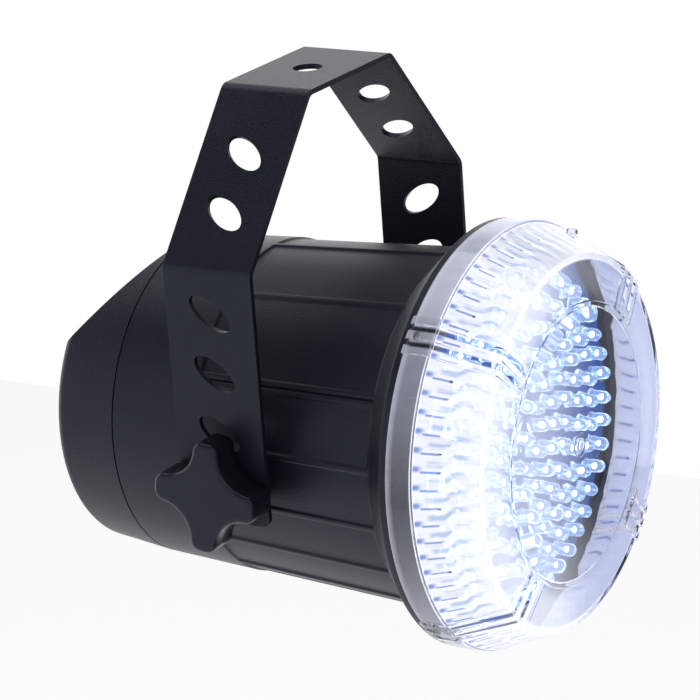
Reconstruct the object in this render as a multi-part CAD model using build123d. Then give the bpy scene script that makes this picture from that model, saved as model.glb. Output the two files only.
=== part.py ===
from build123d import *
import math
import os

os.makedirs("parts", exist_ok=True)

# Frame: the origin is the hanging hole's centre on the strap's upper face, +Z is up, the lens faces -Y,
# and the pivot axis runs along X. All sizes are millimetres. Angles round the barrel are measured from
# the top towards -X.

# Clearances
running_gap = 0.1
fit_gap = 0.05
seat_gap = 0.3
hole_spare = 1.0
cut_spare = 1.0

# Cross recess in every screw's head
screw_slot_width = 0.6
screw_slot_depth = 0.7

# Hanging bracket
bracket_width = 153.2
strap_width = 37.0
strap_thickness = 2.0
bend_radius = 3.0
top_flat = 58.0
slope_drop = 55.0
leg_length = 95.6
hanging_hole_radius = 5.5
slot_length = 18.9
slot_width = 9.2
slot_angle = 33.5
slope_slot_start = 26.6
slope_slot_pitch = 23.7
leg_slot_start = 16.3
leg_slot_pitch = 22.8
foot_corner_radius = 3.0

# Pivot: a clamp screw on each side
pivot_below_axis = 3.0
pivot_to_foot = 13.6
stud_radius = 4.0
stud_insert_depth = 11.0
stud_in_knob = 8.0
pad_thickness = 1.2
pad_radius = 12.5
boss_radius = 13.0
insert_radius = 6.0
insert_length = 13.0
washer_radius = 9.0
washer_thickness = 1.6

# Star knobs
knob_thickness = 12.3
knob_lobe_radius = 21.3
knob_valley_radius = 12.9
knob_scoop_radius = 12.9
knob_lobe_round = 4.0
knob_edge_round = 1.4
knob_rest_turn = 7.0

# Barrel
barrel_wall = 2.5
seam_radius = 62.2
barrel_front_radius = 68.3
seam_y = 58.5
flare_y = -56.7
flare_length = 10.8
flange_thickness = 2.7
rib_back_y = 19.8
rib_width = 2.2
panel_recess = 0.8
double_rib_offset = 1.45
rib_angles = (0, 30.5, 84.3, 103.5, 121.6, 140, 160)
double_rib_angle = 62.6

# Rear cover
cover_depth = 29.0
cover_draft = 3.2
cover_corner_radius = 5.0
cover_wall = 2.5
slant_start = 1.5
slant_foot_height = 31.5
seam_gap = 0.3
column_radius = 4.5
column_inset = 10.0
column_length = 14.0
column_web = 3.0
column_angles = (70, 145, 215, 290)
cover_screw_radius = 1.5
cover_screw_head_radius = 2.9
cover_screw_head_height = 2.0
cover_screw_bite = 9.0

# Lens cover
band_radius = 80.0
band_length = 9.9
band_wall = 2.1
lens_wall = 2.0
wall_step = 0.6
wall_draft = 9.5
cone_run = 16.9
lens_depth = 35.3
disc_step = 0.5
rim_setback = 2.1
flute_count = 72
flute_depth = 0.8
bar_width = 3.2
bar_gap = 2.45
bar_height = 0.9
strip_angles = (45, 135, 225, 315)
tab_angle = -29.0
tab_depth = 14.0
tab_length = 4.0
tab_width = 3.0
tab_height = 1.8
lens_screw_depth = 3.6
lens_screw_radius = 1.1
lens_screw_head_radius = 1.7
lens_screw_head_height = 1.6
lens_screw_bite = 4.4

# LED board
board_thickness = 1.6
collar_wall = 5.3
board_seat_depth = 5.5
board_screw_inset = 3.0
board_screw_radius = 1.2
board_screw_head_radius = 2.2
board_screw_head_height = 1.5
board_screw_bite = 6.0
led_radius = 2.5
led_height = 8.6
led_dome = 2.4
led_tip_radius = 1.2
led_ring_pitch = 9.6
led_pitch = 9.0
led_rings = 6
led_edge_inset = 12.0
led_sides = 6

# Driver board and what stands on it
driver_length = 88.0
driver_width = 82.0
driver_below_axis = 24.0
driver_y = -4.0
driver_thickness = 1.6
post_radius = 3.5
post_inset = 5.0
driver_screw_radius = 1.3
driver_screw_head_radius = 2.6
driver_screw_head_height = 1.6
driver_screw_bite = 7.0

core_x = -19.0
core_inset = 28.0
core_width = 42.0
core_height = 35.0
core_limb = 14.0
core_yoke = 7.0
coil_build = 6.4
coil_gap = 0.3
capacitor_x = 23.0
capacitor_y = 4.0
capacitor_pitch = 19.0
capacitor_radius = 8.0
capacitor_height = 26.0
capacitor_rim_round = 1.0
rectifier_x = -30.0
rectifier_y = -12.0
rectifier_width = 15.0
rectifier_depth = 6.0
rectifier_height = 15.0
rectifier_corner = 2.0
chip_x = 0.0
chip_from_sink = 15.0
chip_width = 9.0
chip_length = 20.0
chip_height = 4.0
chip_notch_radius = 1.1
sink_x = 0.0
sink_inset = 15.0
sink_width = 48.0
sink_height = 25.0
sink_plate = 3.0
sink_fin_count = 9
sink_fin_depth = 8.0
sink_fin_thickness = 1.4
transistor_count = 3
transistor_pitch = 15.0
transistor_width = 10.0
transistor_height = 15.0
transistor_depth = 4.5
transistor_lift = 5.0
transistor_leg = 0.8
terminal_x = 0.0
terminal_inset = 1.0
terminal_width = 16.0
terminal_depth = 9.0
terminal_height = 10.0
terminal_ways = 3
terminal_hole_radius = 1.5
terminal_screw_depth = 3.0

# Internal leads
lead_radius = 1.0
lead_pitch = 3.0
lead_bend = 5.0
led_lead_rise = 14.0
mains_lead_y = 56.0

# Flash rate control
rate_x = 0.0
rate_z = 8.0
rate_shaft_radius = 3.0
rate_bush_radius = 3.6
rate_knob_radius = 9.5
rate_knob_height = 13.0
rate_body_radius = 8.2
rate_body_depth = 9.0
rate_nut_across = 10.0
rate_nut_height = 2.0
rate_bush_reach = 3.0
rate_shaft_depth = 4.0
rate_knob_gap = 0.6
rate_knob_grips = 16
rate_grip_radius = 1.0
rate_knob_skirt = 2.0
rate_socket_depth = 7.8
rate_pointer_width = 1.2
rate_pointer_depth = 0.5

# Trigger socket
jack_x = -28.0
jack_z = -14.0
jack_bore_radius = 3.25
jack_bush_radius = 4.6
jack_bush_reach = 3.0
jack_end_wall = 2.0
jack_body_width = 15.0
jack_body_depth = 23.0
jack_nut_across = 14.0
jack_nut_height = 2.0

# Fuse holder
fuse_x = 28.0
fuse_z = -14.0
fuse_radius = 2.6
fuse_length = 20.0
fuse_bore_radius = 3.6
fuse_tube_radius = 6.2
fuse_tube_length = 28.0
fuse_nut_across = 16.0
fuse_nut_height = 3.0
fuse_end_wall = 1.5
fuse_flange_radius = 8.0
fuse_flange_thickness = 2.0
fuse_cap_radius = 6.0
fuse_cap_height = 7.0
fuse_cap_stem = 8.0
fuse_slot_width = 1.2
fuse_slot_depth = 1.0
fuse_ferrule_length = 5.0
fuse_ferrule_wall = 0.25

# Cable gland
gland_x = 0.0
gland_inset = 23.0
gland_thread_radius = 7.6
gland_bore_radius = 4.0
gland_hex_across = 20.0
gland_hex_height = 5.0
gland_cap_radius = 9.0
gland_cap_height = 11.0
gland_cap_round = 3.6
gland_neck = 5.5
gland_thread_length = 9.0
gland_nut_across = 20.0
gland_nut_height = 4.0
gland_seal_depth = 6.0
gland_seal_wall = 1.8

# Places worked out from the sizes above
inner_half = bracket_width / 2 - strap_thickness
slope_run = (bracket_width - top_flat) / 2
pivot_z = -(slope_drop + leg_length - pivot_to_foot)
axis_z = pivot_z + pivot_below_axis
lens_y = flare_y - flare_length - flange_thickness
flange_radius = band_radius - seat_gap
wall_start_radius = band_radius - wall_step
rim_radius = wall_start_radius - wall_draft
disc_radius = rim_radius - cone_run
collar_radius = band_radius - band_wall - seat_gap
collar_y = lens_y - band_length + seat_gap
board_back_y = lens_y - board_seat_depth
board_front_y = board_back_y - board_thickness
board_pocket_radius = collar_radius - collar_wall
board_radius = board_pocket_radius - seat_gap
board_screw_reach = board_radius - board_screw_inset
led_outer_radius = board_radius - led_edge_inset
cover_rear_radius = seam_radius - cover_draft
gland_z = gland_inset - cover_rear_radius
column_reach = cover_rear_radius - column_inset
cover_y = seam_y + seam_gap
rear_y = seam_y + cover_depth
boss_face_x = inner_half - running_gap - pad_thickness
knob_back_x = bracket_width / 2 + running_gap + washer_thickness
driver_top_z = axis_z - driver_below_axis
sink_y = sink_inset - driver_length / 2
chip_y = sink_y + chip_from_sink
core_y = driver_length / 2 - core_inset
barrel_line = Axis((0, 0, axis_z), (0, 1, 0))
side_plane = Plane(origin=(0, 0, axis_z), x_dir=(0, 1, 0), z_dir=(1, 0, 0))


def save(name, *pieces):
    """Write one node's solids to its STEP file."""
    solids = [solid for piece in pieces for solid in piece.solids()]
    export_step(solids[0] if len(solids) == 1 else Compound(children=solids), f"parts/{name}.step")


def turned(*points):
    """Solid of revolution about the barrel's axis, from (y, radius) points."""
    return revolve(side_plane * make_face(Polyline(*points, close=True)), barrel_line, 360)


def radial(angle, y):
    """Plane through the barrel's axis whose normal points outwards at the angle, with X along +Y."""
    turn = math.radians(angle)
    return Plane(origin=(0, y, axis_z), x_dir=(0, 1, 0), z_dir=(-math.sin(turn), 0, math.cos(turn)))


def rod(radius, length):
    """Cylinder that starts at the local origin and runs along +Z."""
    return Cylinder(radius, length, align=(Align.CENTER, Align.CENTER, Align.MIN))


def tube(outer, inner, length):
    """Hollow cylinder that starts at the local origin and runs along +Z."""
    return rod(outer, length) - rod(inner, length)


def hex_nut(across, height, bore):
    """Hexagonal nut, sized across its flats, from the local origin along +Z."""
    blank = extrude(RegularPolygon(across / 2, 6, major_radius=False), height)
    return blank - rod(bore, height)


def screw(shank, length, head, head_height):
    """Cross-head screw whose head's underside is at the local origin and whose shank runs along -Z."""
    body = rod(head, head_height) + Pos(0, 0, -length) * rod(shank, length)
    slot = Pos(0, 0, head_height) * Box(head, screw_slot_width, 2 * screw_slot_depth)
    return body - slot - Rot(0, 0, 90) * slot


def facing_rear(x, z, y):
    """Plane on the rear face at (x, z) from the barrel's axis, whose normal is +Y."""
    return Plane(origin=(x, y, axis_z + z), x_dir=(1, 0, 0), z_dir=(0, 1, 0))


def facing_side(sign, x):
    """Plane square to the pivot axis at a distance x from the middle, whose normal points outwards."""
    return Plane(origin=(sign * x, 0, pivot_z), x_dir=(0, 1, 0), z_dir=(sign, 0, 0))


def barrel_radius(y):
    """Outer radius of the tapered barrel at y."""
    share = (seam_y - y) / (seam_y - flare_y)
    return seam_radius + share * (barrel_front_radius - seam_radius)


def bracket():
    """Bent strap: a flat top, two slopes and two legs, with its hanging, tilted and pivot holes."""
    half = bracket_width / 2
    line = [(-half, -slope_drop - leg_length), (-half, -slope_drop), (-top_flat / 2, 0),
            (top_flat / 2, 0), (half, -slope_drop), (half, -slope_drop - leg_length)]
    outline = FilletPolyline(*line, radius=bend_radius + strap_thickness)
    front = Plane(origin=(0, 0, 0), x_dir=(1, 0, 0), z_dir=(0, -1, 0))
    inward = offset(outline, -strap_thickness, side=Side.RIGHT, closed=True)
    strap = extrude(front * make_face(inward), strap_width / 2, both=True)
    feet = strap.edges().filter_by(Axis.X).group_by(Axis.Z)[0]
    strap = fillet(feet, foot_corner_radius)
    strap -= Pos(0, 0, -2 * strap_thickness) * rod(hanging_hole_radius, 4 * strap_thickness)
    lean = math.degrees(math.atan2(slope_drop, slope_run))
    for sign in (-1, 1):
        slope_start = Plane(origin=(sign * top_flat / 2, 0, 0), x_dir=(0, 1, 0),
                            z_dir=(sign * math.sin(math.radians(lean)), 0, math.cos(math.radians(lean))))
        leg_start = Plane(origin=(sign * half, 0, -slope_drop), x_dir=(0, 1, 0), z_dir=(sign, 0, 0))
        for start, first, pitch, count in ((slope_start, slope_slot_start, slope_slot_pitch, 2),
                                           (leg_start, leg_slot_start, leg_slot_pitch, 3)):
            for index in range(count):
                along = first + index * pitch
                strap -= start * Pos(0, -sign * along, 0) * tilted_slot()
        pivot_hole = stud_radius + seat_gap
        strap -= facing_side(sign, half - 2 * strap_thickness) * rod(pivot_hole, 4 * strap_thickness)
    return strap


def tilted_slot():
    """Cutter for one tilted oval hole, centred on the local origin."""
    face = Rot(0, 0, -slot_angle) * Ellipse(slot_length / 2, slot_width / 2)
    return extrude(face, 2 * strap_thickness, both=True)


def barrel():
    """Tapered barrel with ribs, a flare and collar for the lens, bosses, columns and board posts."""
    outer = turned((seam_y, 0), (seam_y, seam_radius), (flare_y, barrel_front_radius),
                   (flare_y - flare_length, flange_radius), (lens_y, flange_radius), (lens_y, collar_radius),
                   (collar_y, collar_radius), (collar_y, 0))
    outer -= panels()
    cavity_back = seam_radius - barrel_wall
    cavity_front = barrel_front_radius - barrel_wall
    cavity = turned((seam_y, 0), (seam_y, cavity_back), (flare_y, cavity_front), (board_back_y, cavity_front),
                    (board_back_y, board_pocket_radius), (collar_y, board_pocket_radius), (collar_y, 0))
    shell = outer - cavity
    limit = turned((seam_y, 0), (seam_y, seam_radius - panel_recess),
                   (flare_y, barrel_front_radius - panel_recess), (flare_y, 0))
    for sign in (-1, 1):
        start = boss_face_x - insert_length - barrel_wall
        boss = facing_side(sign, start) * rod(boss_radius, boss_face_x - start)
        shell += boss
        shell -= facing_side(sign, boss_face_x - insert_length) * rod(insert_radius + fit_gap, insert_length)
        shell -= facing_side(sign, start) * rod(stud_radius + seat_gap, insert_length)
    for angle in column_angles:
        shell += column(angle) & limit
        place = radial(angle, seam_y) * Pos(0, 0, column_reach) * Rot(0, -90, 0)
        shell -= place * rod(cover_screw_radius + fit_gap, cover_screw_bite + hole_spare)
    for x, y in driver_corners():
        post = Pos(x, y, driver_top_z - driver_thickness - seam_radius) * rod(post_radius, seam_radius)
        shell += post & limit
        depth = driver_screw_bite + hole_spare
        low = driver_top_z - driver_thickness - depth
        shell -= Pos(x, y, low) * rod(driver_screw_radius + fit_gap, depth)
    for index in range(4):
        place = radial(90 * index, board_back_y) * Pos(0, 0, board_screw_reach) * Rot(0, 90, 0)
        shell -= place * rod(board_screw_radius + fit_gap, board_screw_bite + hole_spare)
    for angle in strip_angles:
        reach = collar_radius - lens_screw_bite - fit_gap
        place = radial(angle, lens_y - lens_screw_depth) * Pos(0, 0, reach)
        shell -= place * rod(lens_screw_radius + fit_gap, lens_screw_bite + cut_spare)
    return shell


def panels():
    """Shallow ring round the barrel, less its lengthwise ribs: what is cut to leave the ribs."""
    back = barrel_radius(rib_back_y)
    ring = turned((rib_back_y, back + cut_spare), (flare_y, barrel_front_radius + cut_spare),
                  (flare_y, barrel_front_radius - panel_recess), (rib_back_y, back - panel_recess))
    length = rib_back_y - flare_y
    middle = (rib_back_y + flare_y) / 2
    angles = [a for angle in rib_angles for a in {angle, -angle}] + [180]
    places = [radial(angle, middle) for angle in angles]
    places += [radial(side * double_rib_angle, middle) * Pos(0, offset_y, 0)
               for side in (-1, 1) for offset_y in (-double_rib_offset, double_rib_offset)]
    height = barrel_front_radius
    ribs = [place * Pos(0, 0, height) * Box(length + 2 * cut_spare, rib_width, height) for place in places]
    return ring - ribs


def column(angle):
    """Screw column inside the barrel's rear edge, with a web to the wall."""
    start = radial(angle, seam_y - column_length)
    round_part = start * Pos(0, 0, column_reach) * Rot(0, 90, 0) * rod(column_radius, column_length)
    reach = seam_radius - column_reach
    web = start * Pos(column_length / 2, 0, column_reach + reach / 2) * Box(column_length, column_web, reach)
    return round_part + web


def driver_corners():
    """Places of the driver board's four posts."""
    half_x = driver_width / 2 - post_inset
    half_y = driver_length / 2 - post_inset
    return [(sx * half_x, driver_y + sy * half_y) for sx in (-1, 1) for sy in (-1, 1)]


def cover_body(inset):
    """Rear cover's outer form, or its hollow when inset by the wall."""
    back = rear_y - inset
    corner = max(cover_corner_radius - inset, fit_gap)
    face = make_face(Polyline((cover_y, 0), (cover_y, seam_radius - inset), (back, cover_rear_radius - inset),
                              (back, 0), close=True))
    face = fillet(face.vertices().group_by(Axis.X)[-1].sort_by(Axis.Y)[-1], corner)
    body = revolve(side_plane * face, barrel_line, 360)
    rise = seam_radius - slant_foot_height
    run = cover_depth - slant_start
    slant = Plane(origin=(0, seam_y + slant_start, axis_z + seam_radius), x_dir=(1, 0, 0),
                  z_dir=(0, rise, run))
    size = 4 * seam_radius
    return body - slant * Pos(0, 0, size / 2 - inset) * Box(size, size, size)


def rear_cover():
    """Rear cover: a hollow cap with a slanted upper panel, screw columns and holes for what it carries."""
    outer = cover_body(0)
    cover = outer - cover_body(cover_wall)
    for angle in column_angles:
        start = radial(angle, cover_y) * Pos(0, 0, column_reach) * Rot(0, 90, 0)
        cover += (start * rod(column_radius, cover_depth)) & outer
        cover -= start * rod(cover_screw_radius + seat_gap, cover_depth)
        sunk = cover_depth - seam_gap - cover_screw_head_height
        cover -= start * Pos(0, 0, sunk) * rod(cover_screw_head_radius + seat_gap, cover_depth)
    for x, z, radius in ((rate_x, rate_z, rate_bush_radius), (jack_x, jack_z, jack_bush_radius),
                         (fuse_x, fuse_z, fuse_tube_radius), (gland_x, gland_z, gland_thread_radius)):
        cover -= facing_rear(x, z, rear_y - 2 * cover_wall) * rod(radius + fit_gap, 3 * cover_wall)
    return cover


def lens_cover():
    """Clear cup: a smooth band, a fluted wall, a conical rim and a flat disc, with four strips of bars."""
    step_y = lens_y - band_length
    disc_y = lens_y - lens_depth
    rim_y = disc_y + rim_setback
    outer = turned((lens_y, 0), (lens_y, band_radius), (step_y, band_radius), (step_y, wall_start_radius),
                   (rim_y, rim_radius), (disc_y + disc_step, disc_radius), (disc_y, disc_radius - disc_step),
                   (disc_y, 0))
    bars = turned((lens_y, disc_radius), (lens_y, band_radius + bar_height),
                  (step_y - bar_height / 2, band_radius + bar_height),
                  (rim_y - bar_height, rim_radius + bar_height),
                  (disc_y + disc_step - bar_height, disc_radius))
    slabs = []
    for angle in strip_angles:
        for step in (-1, 0, 1):
            place = radial(angle, lens_y - lens_depth / 2) * Pos(0, step * (bar_width + bar_gap), band_radius)
            slabs.append(place * Box(2 * lens_depth, bar_width, 2 * band_radius - disc_radius))
    body = outer + [bars & slab for slab in slabs]
    tab_radius = wall_start_radius - (tab_depth - band_length) * (wall_start_radius - rim_radius) / (
        lens_depth - rim_setback - band_length)
    tab_place = radial(tab_angle, lens_y - tab_depth - tab_length / 2) * Pos(0, 0, tab_radius - lens_wall / 2)
    body += tab_place * Box(tab_length, tab_width, 2 * tab_height + lens_wall)
    inner_band = turned((lens_y, 0), (lens_y, band_radius - band_wall), (step_y, band_radius - band_wall),
                        (step_y, 0))
    inner_disc = turned((rim_y + lens_wall, 0), (rim_y + lens_wall, rim_radius - lens_wall - flute_depth),
                        (disc_y + disc_step + lens_wall, disc_radius - lens_wall), (disc_y + lens_wall, 0))
    body = body - inner_band - flute_cavity(step_y, rim_y + lens_wall) - inner_disc
    for angle in strip_angles:
        place = radial(angle, lens_y - lens_screw_depth)
        head_seat = band_radius + bar_height - lens_screw_head_height
        start = band_radius - 2 * band_wall
        body -= place * Pos(0, 0, start) * rod(lens_screw_radius + seat_gap, 4 * band_wall)
        body -= place * Pos(0, 0, head_seat) * rod(lens_screw_head_radius + seat_gap, 4 * band_wall)
    return body


def flute_ring(y, radius):
    """Closed zigzag outline of the flutes at y, with its ridges on the stated radius less the depth."""
    points = []
    for index in range(2 * flute_count):
        turn = math.pi * index / flute_count
        reach = radius - (flute_depth if index % 2 else 0)
        points.append((-reach * math.sin(turn), y, axis_z + reach * math.cos(turn)))
    return Face(Wire.make_polygon([Vector(*p) for p in points], close=True))


def flute_cavity(back_y, front_y):
    """Inside of the fluted wall: a tapered hollow whose section zigzags once a flute."""
    start = flute_ring(back_y, wall_start_radius - lens_wall)
    end = flute_ring(front_y, rim_radius - lens_wall)
    return Solid.make_loft([start.outer_wire(), end.outer_wire()], ruled=True)


def led_places():
    """(radius, angle) of every LED: rings at one pitch and a middle one."""
    places = []
    for ring in range(led_rings):
        radius = led_outer_radius - ring * led_ring_pitch
        count = round(2 * math.pi * radius / led_pitch)
        places += [(radius, 360 * index / count) for index in range(count)]
    return places + [(0, 0)]


def led():
    """One LED from its board along +Z: a straight six-sided body under a tapered tip."""
    foot = RegularPolygon(led_radius, led_sides)
    straight = led_height - led_dome
    draw_in = (led_radius - led_tip_radius) * math.cos(math.pi / led_sides)
    tip = extrude(foot, led_dome, taper=math.degrees(math.atan2(draw_in, led_dome)))
    return extrude(foot, straight) + Pos(0, 0, straight) * tip


def leds():
    """All LEDs, standing on the board's front face."""
    one = led()
    front = Plane(origin=(0, board_front_y, axis_z), x_dir=(-1, 0, 0), z_dir=(0, -1, 0))
    return [front * Rot(0, 0, 90 + angle) * Pos(radius, 0, 0) * one for radius, angle in led_places()]


def led_board():
    """Round board that seats on the barrel's ledge."""
    front = Plane(origin=(0, board_back_y, axis_z), x_dir=(-1, 0, 0), z_dir=(0, -1, 0))
    board = front * rod(board_radius, board_thickness)
    for index in range(4):
        place = radial(90 * index, board_back_y + cut_spare) * Pos(0, 0, board_screw_reach) * Rot(0, -90, 0)
        board -= place * rod(board_screw_radius + seat_gap, board_thickness + 2 * cut_spare)
    return board


def star_knob(sign):
    """Four-lobed clamp knob with a hole for its stud."""
    centre = knob_valley_radius + knob_scoop_radius
    scoops = [Rot(0, 0, 45 + 90 * k) * Pos(centre, 0) * Circle(knob_scoop_radius) for k in range(4)]
    face = Circle(knob_lobe_radius) - scoops
    face = fillet(face.vertices(), knob_lobe_round)
    knob = extrude(face, knob_thickness)
    knob = fillet(knob.edges().group_by(Axis.Z)[-1], knob_edge_round)
    knob -= rod(stud_radius + fit_gap, stud_in_knob)
    return facing_side(sign, knob_back_x) * Rot(0, 0, sign * knob_rest_turn) * knob


def knob_stud(sign):
    """Threaded stud from inside the knob to inside the insert."""
    start = boss_face_x - stud_insert_depth
    return facing_side(sign, start) * rod(stud_radius, knob_back_x + stud_in_knob - start)


def knob_washer(sign):
    """Washer between strap and knob."""
    place = facing_side(sign, bracket_width / 2 + running_gap)
    return place * tube(washer_radius, stud_radius + seat_gap, washer_thickness)


def friction_pad(sign):
    """Friction washer between the barrel's boss and the strap."""
    return facing_side(sign, boss_face_x) * tube(pad_radius, stud_radius + seat_gap, pad_thickness)


def threaded_insert(sign):
    """Brass insert in the barrel's boss, which the stud screws into."""
    place = facing_side(sign, boss_face_x - insert_length)
    return place * tube(insert_radius, stud_radius + fit_gap, insert_length)


def lens_screws():
    """Four screws through the lens band into the collar."""
    seat = band_radius + bar_height - lens_screw_head_height
    length = seat - collar_radius + lens_screw_bite
    one = screw(lens_screw_radius, length, lens_screw_head_radius, lens_screw_head_height)
    return [radial(angle, lens_y - lens_screw_depth) * Pos(0, 0, seat) * one for angle in strip_angles]


def board_screws():
    """Four screws that hold the LED board to the barrel's ledge."""
    one = screw(board_screw_radius, board_thickness + board_screw_bite, board_screw_head_radius,
                board_screw_head_height)
    return [radial(90 * index, board_front_y) * Pos(0, 0, board_screw_reach) * Rot(0, -90, 0) * one
            for index in range(4)]


def cover_screws():
    """Four screws from the rear cover's back into the barrel's columns."""
    length = cover_depth - cover_screw_head_height + cover_screw_bite
    one = screw(cover_screw_radius, length, cover_screw_head_radius, cover_screw_head_height)
    seat_y = rear_y - cover_screw_head_height
    return [radial(angle, seat_y) * Pos(0, 0, column_reach) * Rot(0, 90, 0) * one for angle in column_angles]


def on_driver(x, y):
    """Plane on the driver board's upper face, at (x, y) from the board's centre."""
    return Pos(x, driver_y + y, driver_top_z)


def block(width, depth, height):
    """Box that stands on the local origin."""
    return Box(width, depth, height, align=(Align.CENTER, Align.CENTER, Align.MIN))


def driver_board():
    """Rectangular board on the barrel's four posts."""
    board = on_driver(0, 0) * Pos(0, 0, -driver_thickness) * block(driver_width, driver_length,
                                                                   driver_thickness)
    for x, y in driver_corners():
        board -= Pos(x, y, driver_top_z - 2 * driver_thickness) * rod(driver_screw_radius + seat_gap,
                                                                      3 * driver_thickness)
    return board


def driver_screws():
    """Four screws that hold the driver board to its posts."""
    one = screw(driver_screw_radius, driver_thickness + driver_screw_bite, driver_screw_head_radius,
                driver_screw_head_height)
    return [Pos(x, y, driver_top_z) * one for x, y in driver_corners()]


def transformer_core():
    """Stack of laminations with two windows for the coil."""
    core = block(core_width, core_limb, core_height)
    window = (core_width - core_limb - 2 * core_yoke) / 2
    opening = block(window, 2 * core_limb, core_height - 2 * core_yoke)
    for side in (-1, 1):
        core -= Pos(side * (core_limb + window) / 2, 0, core_yoke) * opening
    return on_driver(core_x, core_y) * core


def transformer_coil():
    """Winding round the core's middle limb."""
    bore = core_limb + 2 * coil_gap
    width = bore + 2 * coil_build
    height = core_height - 2 * core_yoke - 2 * coil_gap
    coil = block(width, width, height) - block(bore, bore, height)
    coil = fillet(coil.edges().filter_by(Axis.Z).group_by(SortBy.DISTANCE)[-1], coil_build / 2)
    return on_driver(core_x, core_y) * Pos(0, 0, core_yoke + coil_gap) * coil


def capacitors():
    """Two upright capacitors with rounded rims."""
    can = rod(capacitor_radius, capacitor_height)
    can = fillet(can.edges().group_by(Axis.Z)[-1], capacitor_rim_round)
    return [on_driver(capacitor_x, capacitor_y + index * capacitor_pitch) * can for index in range(2)]


def heat_sink():
    """Upright plate with fins on its front, behind the transistors."""
    sink = block(sink_width, sink_plate, sink_height)
    pitch = (sink_width - sink_fin_thickness) / (sink_fin_count - 1)
    for index in range(sink_fin_count):
        x = index * pitch - (sink_width - sink_fin_thickness) / 2
        depth = sink_fin_depth + sink_plate / 2
        sink += Pos(x, -depth / 2, 0) * block(sink_fin_thickness, depth, sink_height)
    return on_driver(sink_x, sink_y) * sink


def transistors():
    """Three switching transistors against the heat sink, each with three legs to the board."""
    pieces = []
    for index in range(transistor_count):
        x = sink_x + (index - (transistor_count - 1) / 2) * transistor_pitch
        body = Pos(0, 0, transistor_lift) * block(transistor_width, transistor_depth, transistor_height)
        for leg in (-1, 0, 1):
            body += Pos(leg * transistor_width / 4, 0) * block(transistor_leg, transistor_leg,
                                                                transistor_lift)
        pieces.append(on_driver(x, sink_y + (sink_plate + transistor_depth) / 2) * body)
    return pieces


def rectifier():
    """Bridge rectifier standing on the driver board."""
    body = block(rectifier_width, rectifier_depth, rectifier_height)
    body = chamfer(body.edges().filter_by(Axis.Y).sort_by(Axis.X)[-1], rectifier_corner)
    return on_driver(rectifier_x, rectifier_y) * body


def timer_chip():
    """Control chip with its end notch."""
    chip = block(chip_width, chip_length, chip_height)
    chip -= Pos(0, -chip_length / 2, chip_height / 2) * rod(chip_notch_radius, chip_height)
    return on_driver(chip_x, chip_y) * chip


def terminal_block():
    """Mains terminal block at the driver board's rear edge, with a wire hole and a screw hole a way."""
    body = block(terminal_width, terminal_depth, terminal_height)
    pitch = terminal_width / terminal_ways
    for index in range(terminal_ways):
        x = (index - (terminal_ways - 1) / 2) * pitch
        body -= Pos(x, 0, terminal_height / 2) * Rot(-90, 0, 0) * rod(terminal_hole_radius, terminal_depth)
        body -= Pos(x, 0, terminal_height - terminal_screw_depth) * rod(terminal_hole_radius, terminal_height)
    y = driver_length / 2 - terminal_inset - terminal_depth / 2
    return on_driver(terminal_x, y) * body


def lead(*points):
    """Insulated wire along straight runs with rounded turns."""
    path = FilletPolyline(*points, radius=lead_bend)
    start = Plane(origin=path @ 0, z_dir=path % 0)
    return sweep(start * Circle(lead_radius), path=path)


def led_leads():
    """Pair of wires from the driver board's front edge to the LED board's back."""
    y = driver_y - driver_length / 2 + 2 * lead_radius
    rise = driver_top_z + led_lead_rise
    return [lead((x, y, driver_top_z), (x, y, rise), (x, board_back_y, rise))
            for x in (-lead_pitch / 2, lead_pitch / 2)]


def mains_leads():
    """Pair of wires from the gland to the terminal block."""
    level = driver_top_z + terminal_height / 2
    y = driver_y + driver_length / 2 - terminal_inset
    inner = rear_y - cover_wall - gland_thread_length
    pitch = terminal_width / terminal_ways
    return [lead((gland_x + x, inner, axis_z + gland_z), (gland_x + x, mains_lead_y, axis_z + gland_z),
                 (gland_x + x, mains_lead_y, level), (gland_x + x, y, level))
            for x in (-pitch, pitch)]


def control_leads():
    """Pairs of wires that drop from the rate control, trigger socket and fuse holder to the driver board."""
    drop_y = driver_y + driver_length / 2 - 2 * lead_radius
    beside = rate_body_radius + seat_gap + lead_radius + lead_pitch / 2
    starts = ((rate_x + beside, rate_z, rear_y - cover_wall - rate_body_depth),
              (jack_x, jack_z, rear_y - cover_wall - jack_body_depth),
              (fuse_x, fuse_z, rear_y - fuse_tube_length))
    wires = []
    for x, z, start_y in starts:
        for offset_x in (-lead_pitch / 2, lead_pitch / 2):
            wires.append(lead((x + offset_x, start_y, axis_z + z), (x + offset_x, drop_y, axis_z + z),
                              (x + offset_x, drop_y, driver_top_z)))
    return wires


def potentiometer():
    """Rate control's body behind the rear face, with its threaded bush through the wall."""
    inside = rear_y - cover_wall
    body = facing_rear(rate_x, rate_z, inside - rate_body_depth) * rod(rate_body_radius, rate_body_depth)
    body += facing_rear(rate_x, rate_z, inside) * rod(rate_bush_radius, cover_wall + rate_bush_reach)
    depth = rate_shaft_depth + cover_wall + rate_bush_reach
    bore = rod(rate_shaft_radius + fit_gap, depth)
    return body - facing_rear(rate_x, rate_z, inside - rate_shaft_depth) * bore


def rate_shaft():
    """Shaft that turns in the potentiometer's bush and carries the knob."""
    start = rear_y - cover_wall - rate_shaft_depth + fit_gap
    end = rear_y + rate_bush_reach + rate_knob_gap + rate_socket_depth
    return facing_rear(rate_x, rate_z, start) * rod(rate_shaft_radius, end - start)


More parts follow.
